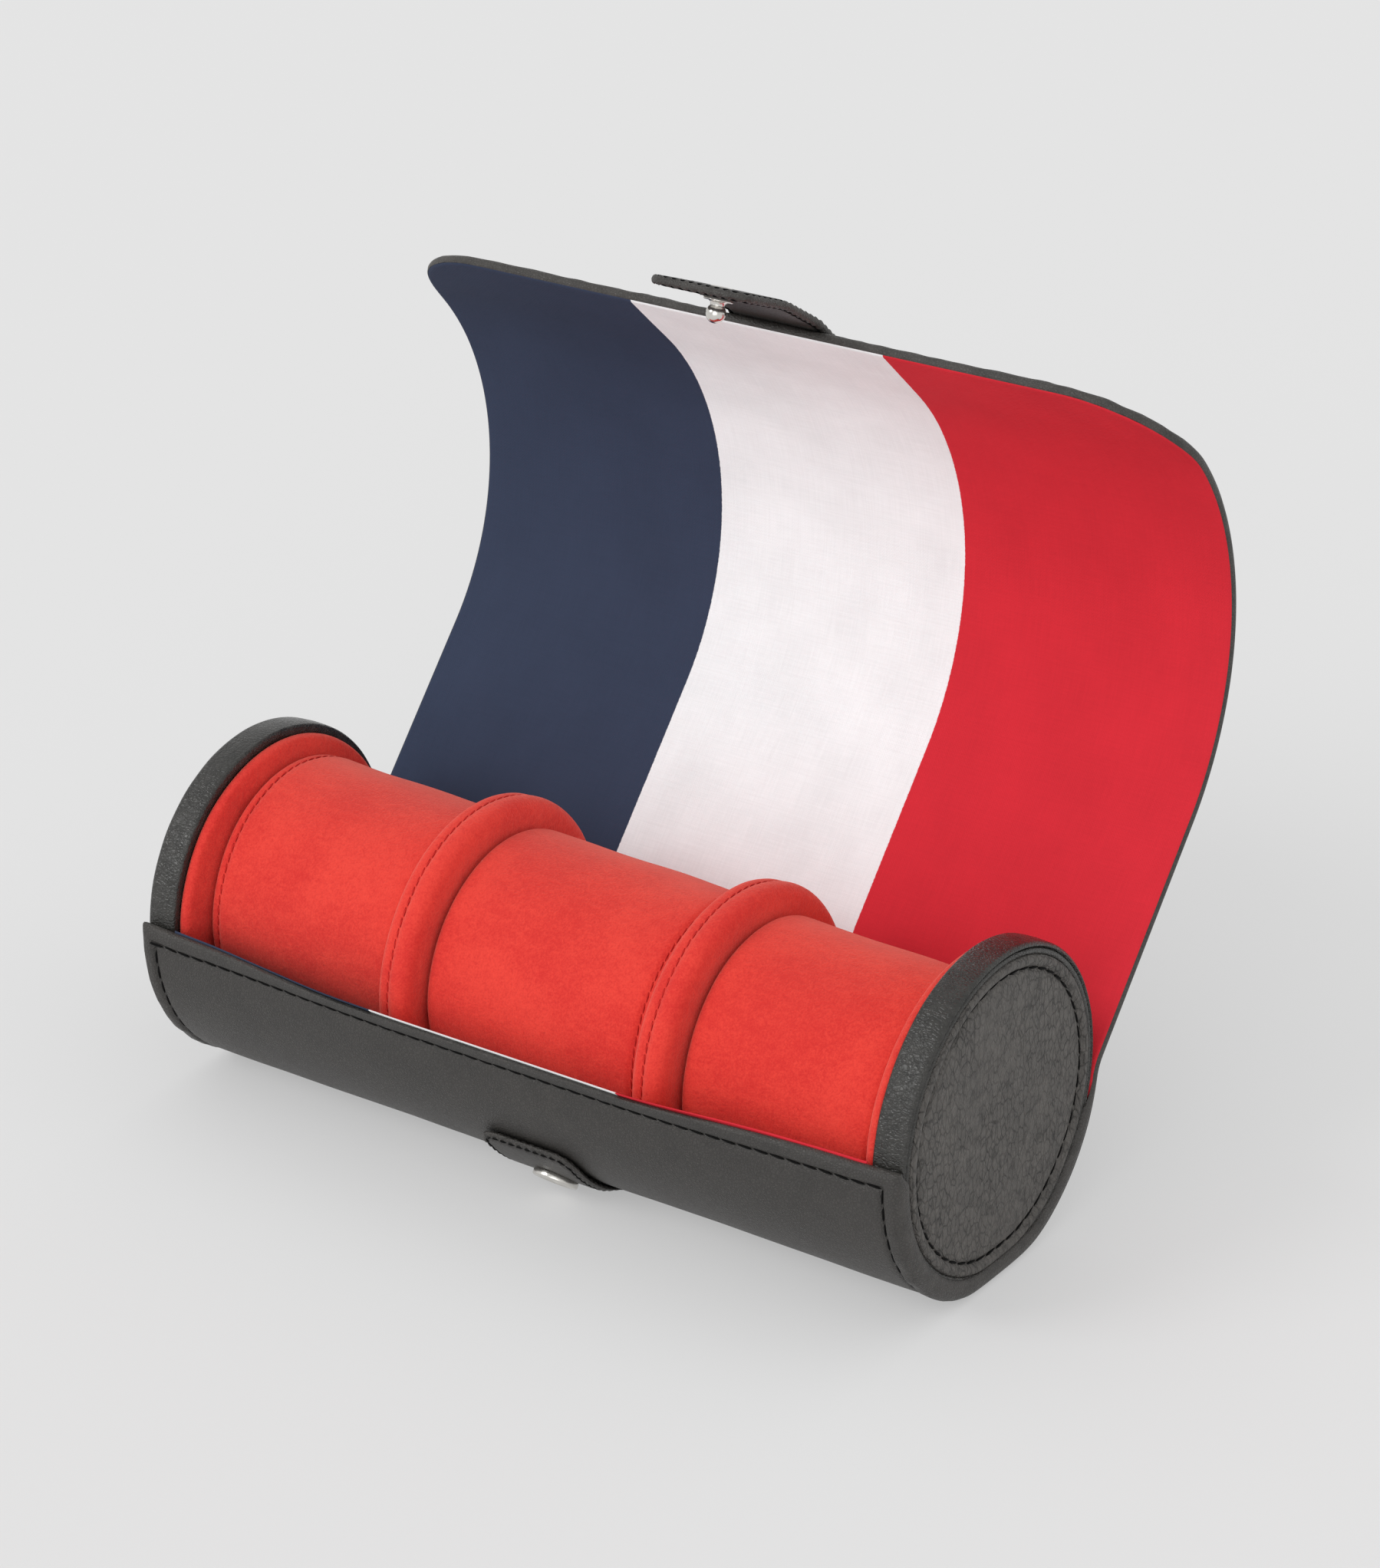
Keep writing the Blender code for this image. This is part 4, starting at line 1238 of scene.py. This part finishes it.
class WATCHROLL_OT_fastener(bpy.types.Operator):
    """Make the press fastener: stud, socket and their rivets"""
    bl_idname = "watch_roll.fastener"
    bl_label = "Press fastener"

    def execute(self, context):
        tabs = context.scene.wr_tabs
        thick, front = tabs.thickness, tabs.front_thickness
        flap_end = length_of(flap_tab_section())
        spot = flap_end - tabs.stud_from_tip
        seat = flap_tab_place(0.0, spot, 0.0)
        stud_frame = facing(seat, (seat - flap_tab_place(0.0, spot, thick)).normalized())
        spot = front_tab_reach() * (tabs.socket - tabs.root) / (tabs.tip - tabs.root)
        seat = front_tab_place(tabs.socket_shift, spot, front)
        socket_frame = facing(seat, (seat - front_tab_place(tabs.socket_shift, spot, 0.0)).normalized())

        foot = 0.0003
        stud = [(foot - 0.0004, 0.0), (foot - 0.0004, 0.0034), (foot, 0.0036), (foot + 0.0004, 0.0036)]
        stud += [(foot + 0.0006, 0.0033), (foot + 0.0006, 0.0024), (foot + 0.0010, 0.0018), (foot + 0.0016, 0.0017)]
        stud += arc((foot + 0.0034, 0.0), 0.0024, pi - 0.79, 0.0, 12)[:-1] + [(foot + 0.0058, 0.0)]
        rim = [(-0.0002, 0.0), (-0.0002, 0.0055), (foot, 0.0057), (foot + 0.0012, 0.0057)]
        rim += arc((foot + 0.0014, 0.0050), 0.0007, pi / 2, 0, 6)[1:]
        rim += [(foot + 0.0020, 0.0042), (foot + 0.0014, 0.0037), (foot + 0.0014, 0.0034), (foot + 0.0019, 0.0031)]
        rim += [(foot + 0.0019, 0.0028), (foot + 0.0015, 0.0026), (foot + 0.0004, 0.0025), (foot + 0.0002, 0.0)]
        rim = [(a * 0.7, r) for a, r in rim]
        head = [(-0.00025, 0.0), (-0.00022, 0.0014), (-0.0001, 0.0024), (0.0002, 0.0030)]
        head += [(0.0006, 0.0030), (0.0006, 0.0)]
        stud_head, socket_head = ([(a - through, r) for a, r in head] for through in (thick, front))
        for label, profile, turn, node in (
                ("press_stud", stud, stud_frame, "stud"), ("press_socket", rim, socket_frame, "socket"),
                ("press_stud_rivet", stud_head, stud_frame, "stud_rivet"),
                ("press_socket_rivet", socket_head, socket_frame, "socket_rivet")):
            bm = spun(profile, lambda co, turn=turn: turn @ Vector((co.y, co.z, co.x)), 48)
            settle(new_piece(bm, label, "nickel", sharp=50), "nickel", node)
        return {"FINISHED"}


class WATCHROLL_OT_cores(bpy.types.Operator):
    """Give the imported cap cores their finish"""
    bl_idname = "watch_roll.cores"
    bl_label = "Cap cores"

    def execute(self, context):
        for label in ("left", "right"):
            core = frame["nodes"][f"{label}_cap_core"]
            core.data.materials.clear()
            core.data.materials.append(bpy.data.materials["grey_board_finish"])
        return {"FINISHED"}


class WATCHROLL_OT_studio(bpy.types.Operator):
    """Set the floor, the light and the camera"""
    bl_idname = "watch_roll.studio"
    bl_label = "Studio"

    def execute(self, context):
        scene = context.scene
        stage, colours = scene.wr_stage, scene.wr_colours
        bm = bmesh.new()
        bmesh.ops.create_grid(bm, x_segments=4, y_segments=4, size=9.0)
        tree, shader = named_tree("studio_floor")
        cloud = noise_of(tree, object_place(tree), 3.0, 2.0)
        low = tuple(c * 0.997 for c in colours.floor)
        feed(tree, mixed(tree, cloud.outputs["Fac"], low, tuple(colours.floor)), shader.inputs["Base Color"])
        shader.inputs["Roughness"].default_value = 1.0
        shader.inputs["Specular IOR Level"].default_value = 0.0
        glow = add_node(tree, "ShaderNodeEmission", {"Color": (*colours.backdrop, 1.0), "Strength": 1.0})
        share = calc(tree, "MULTIPLY", seen_directly(tree), stage.pale)
        both = add_node(tree, "ShaderNodeMixShader", {0: share, 1: shader.outputs[0], 2: glow.outputs[0]})
        feed(tree, both.outputs[0], tree.nodes["Material Output"].inputs["Surface"])
        new_piece(bm, "floor", "studio_floor")

        world = bpy.data.worlds.new("studio")
        world.use_nodes = True
        scene.world = world
        tree = world.node_tree
        tree.nodes.clear()
        light = add_node(tree, "ShaderNodeBackground", {"Color": (1.0, 1.0, 1.0, 1.0), "Strength": stage.sky})
        wall = add_node(tree, "ShaderNodeBackground", {"Color": (*colours.backdrop, 1.0), "Strength": 1.0})
        both = add_node(tree, "ShaderNodeMixShader", {0: seen_directly(tree), 1: light.outputs[0], 2: wall.outputs[0]})
        add_node(tree, "ShaderNodeOutputWorld", {"Surface": both.outputs[0]})

        for name, strength, turn, rise, spread in (
                ("key", stage.key, stage.key_azimuth, stage.key_height, stage.key_spread),
                ("fill", stage.fill, stage.fill_azimuth, stage.fill_height, stage.fill_spread)):
            lamp = bpy.data.lights.new(name, "SUN")
            lamp.energy = strength
            lamp.angle = spread
            holder = bpy.data.objects.new(name, lamp)
            scene.collection.objects.link(holder)
            towards = Vector((sin(turn) * cos(rise), -cos(turn) * cos(rise), sin(rise)))
            holder.rotation_euler = towards.to_track_quat("Z", "Y").to_euler()

        flat = cos(stage.elevation)
        back = Vector((sin(stage.azimuth) * flat, -cos(stage.azimuth) * flat, sin(stage.elevation)))
        level = Vector((cos(stage.azimuth), sin(stage.azimuth), 0.0))
        upward = back.cross(level)
        right = cos(stage.roll) * level + sin(stage.roll) * upward
        up = cos(stage.roll) * upward - sin(stage.roll) * level
        lens = bpy.data.cameras.new("camera")
        lens.sensor_width = stage.sensor
        lens.lens = FOCAL_PIXELS / PICTURE_LONG_SIDE * stage.sensor
        camera = bpy.data.objects.new("camera", lens)
        turn = Matrix((right, up, back)).transposed().to_4x4()
        place = Vector((0.0, 0.0, AXIS_Z)) + stage.distance * back + stage.slide * right + stage.lift * up
        camera.matrix_world = Matrix.Translation(place) @ turn
        scene.collection.objects.link(camera)
        scene.camera = camera
        scene.view_settings.view_transform = "Standard"
        return {"FINISHED"}


STEPS = (WATCHROLL_OT_finishes, WATCHROLL_OT_cover, WATCHROLL_OT_lining, WATCHROLL_OT_rim_bands,
         WATCHROLL_OT_face_discs, WATCHROLL_OT_padding, WATCHROLL_OT_tabs, WATCHROLL_OT_fastener,
         WATCHROLL_OT_cores, WATCHROLL_OT_studio)


class WATCHROLL_PT_pieces(bpy.types.Panel):
    """The steps that build the roll, and their sizes and colours"""
    bl_idname = "WATCHROLL_PT_pieces"
    bl_label = "Watch Roll"
    bl_space_type = "VIEW_3D"
    bl_region_type = "UI"
    bl_category = "Watch Roll"

    def draw(self, context):
        column = self.layout.column()
        for step in STEPS:
            column.operator(step.bl_idname)
        for attribute, kind in GROUPS:
            box = self.layout.box()
            values = getattr(context.scene, attribute)
            for key in kind.__annotations__:
                box.prop(values, key)


def register():
    for attribute, kind in GROUPS:
        bpy.utils.register_class(kind)
        setattr(bpy.types.Scene, attribute, PointerProperty(type=kind))
    for kind in (*STEPS, WATCHROLL_PT_pieces):
        bpy.utils.register_class(kind)


def unregister():
    for kind in (WATCHROLL_PT_pieces, *reversed(STEPS)):
        bpy.utils.unregister_class(kind)
    for attribute, kind in reversed(GROUPS):
        delattr(bpy.types.Scene, attribute)
        bpy.utils.unregister_class(kind)


def main():
    register()
    for step in STEPS:
        family, name = step.bl_idname.split(".")
        getattr(getattr(bpy.ops, family), name)()


if __name__ == "__main__":
    main()
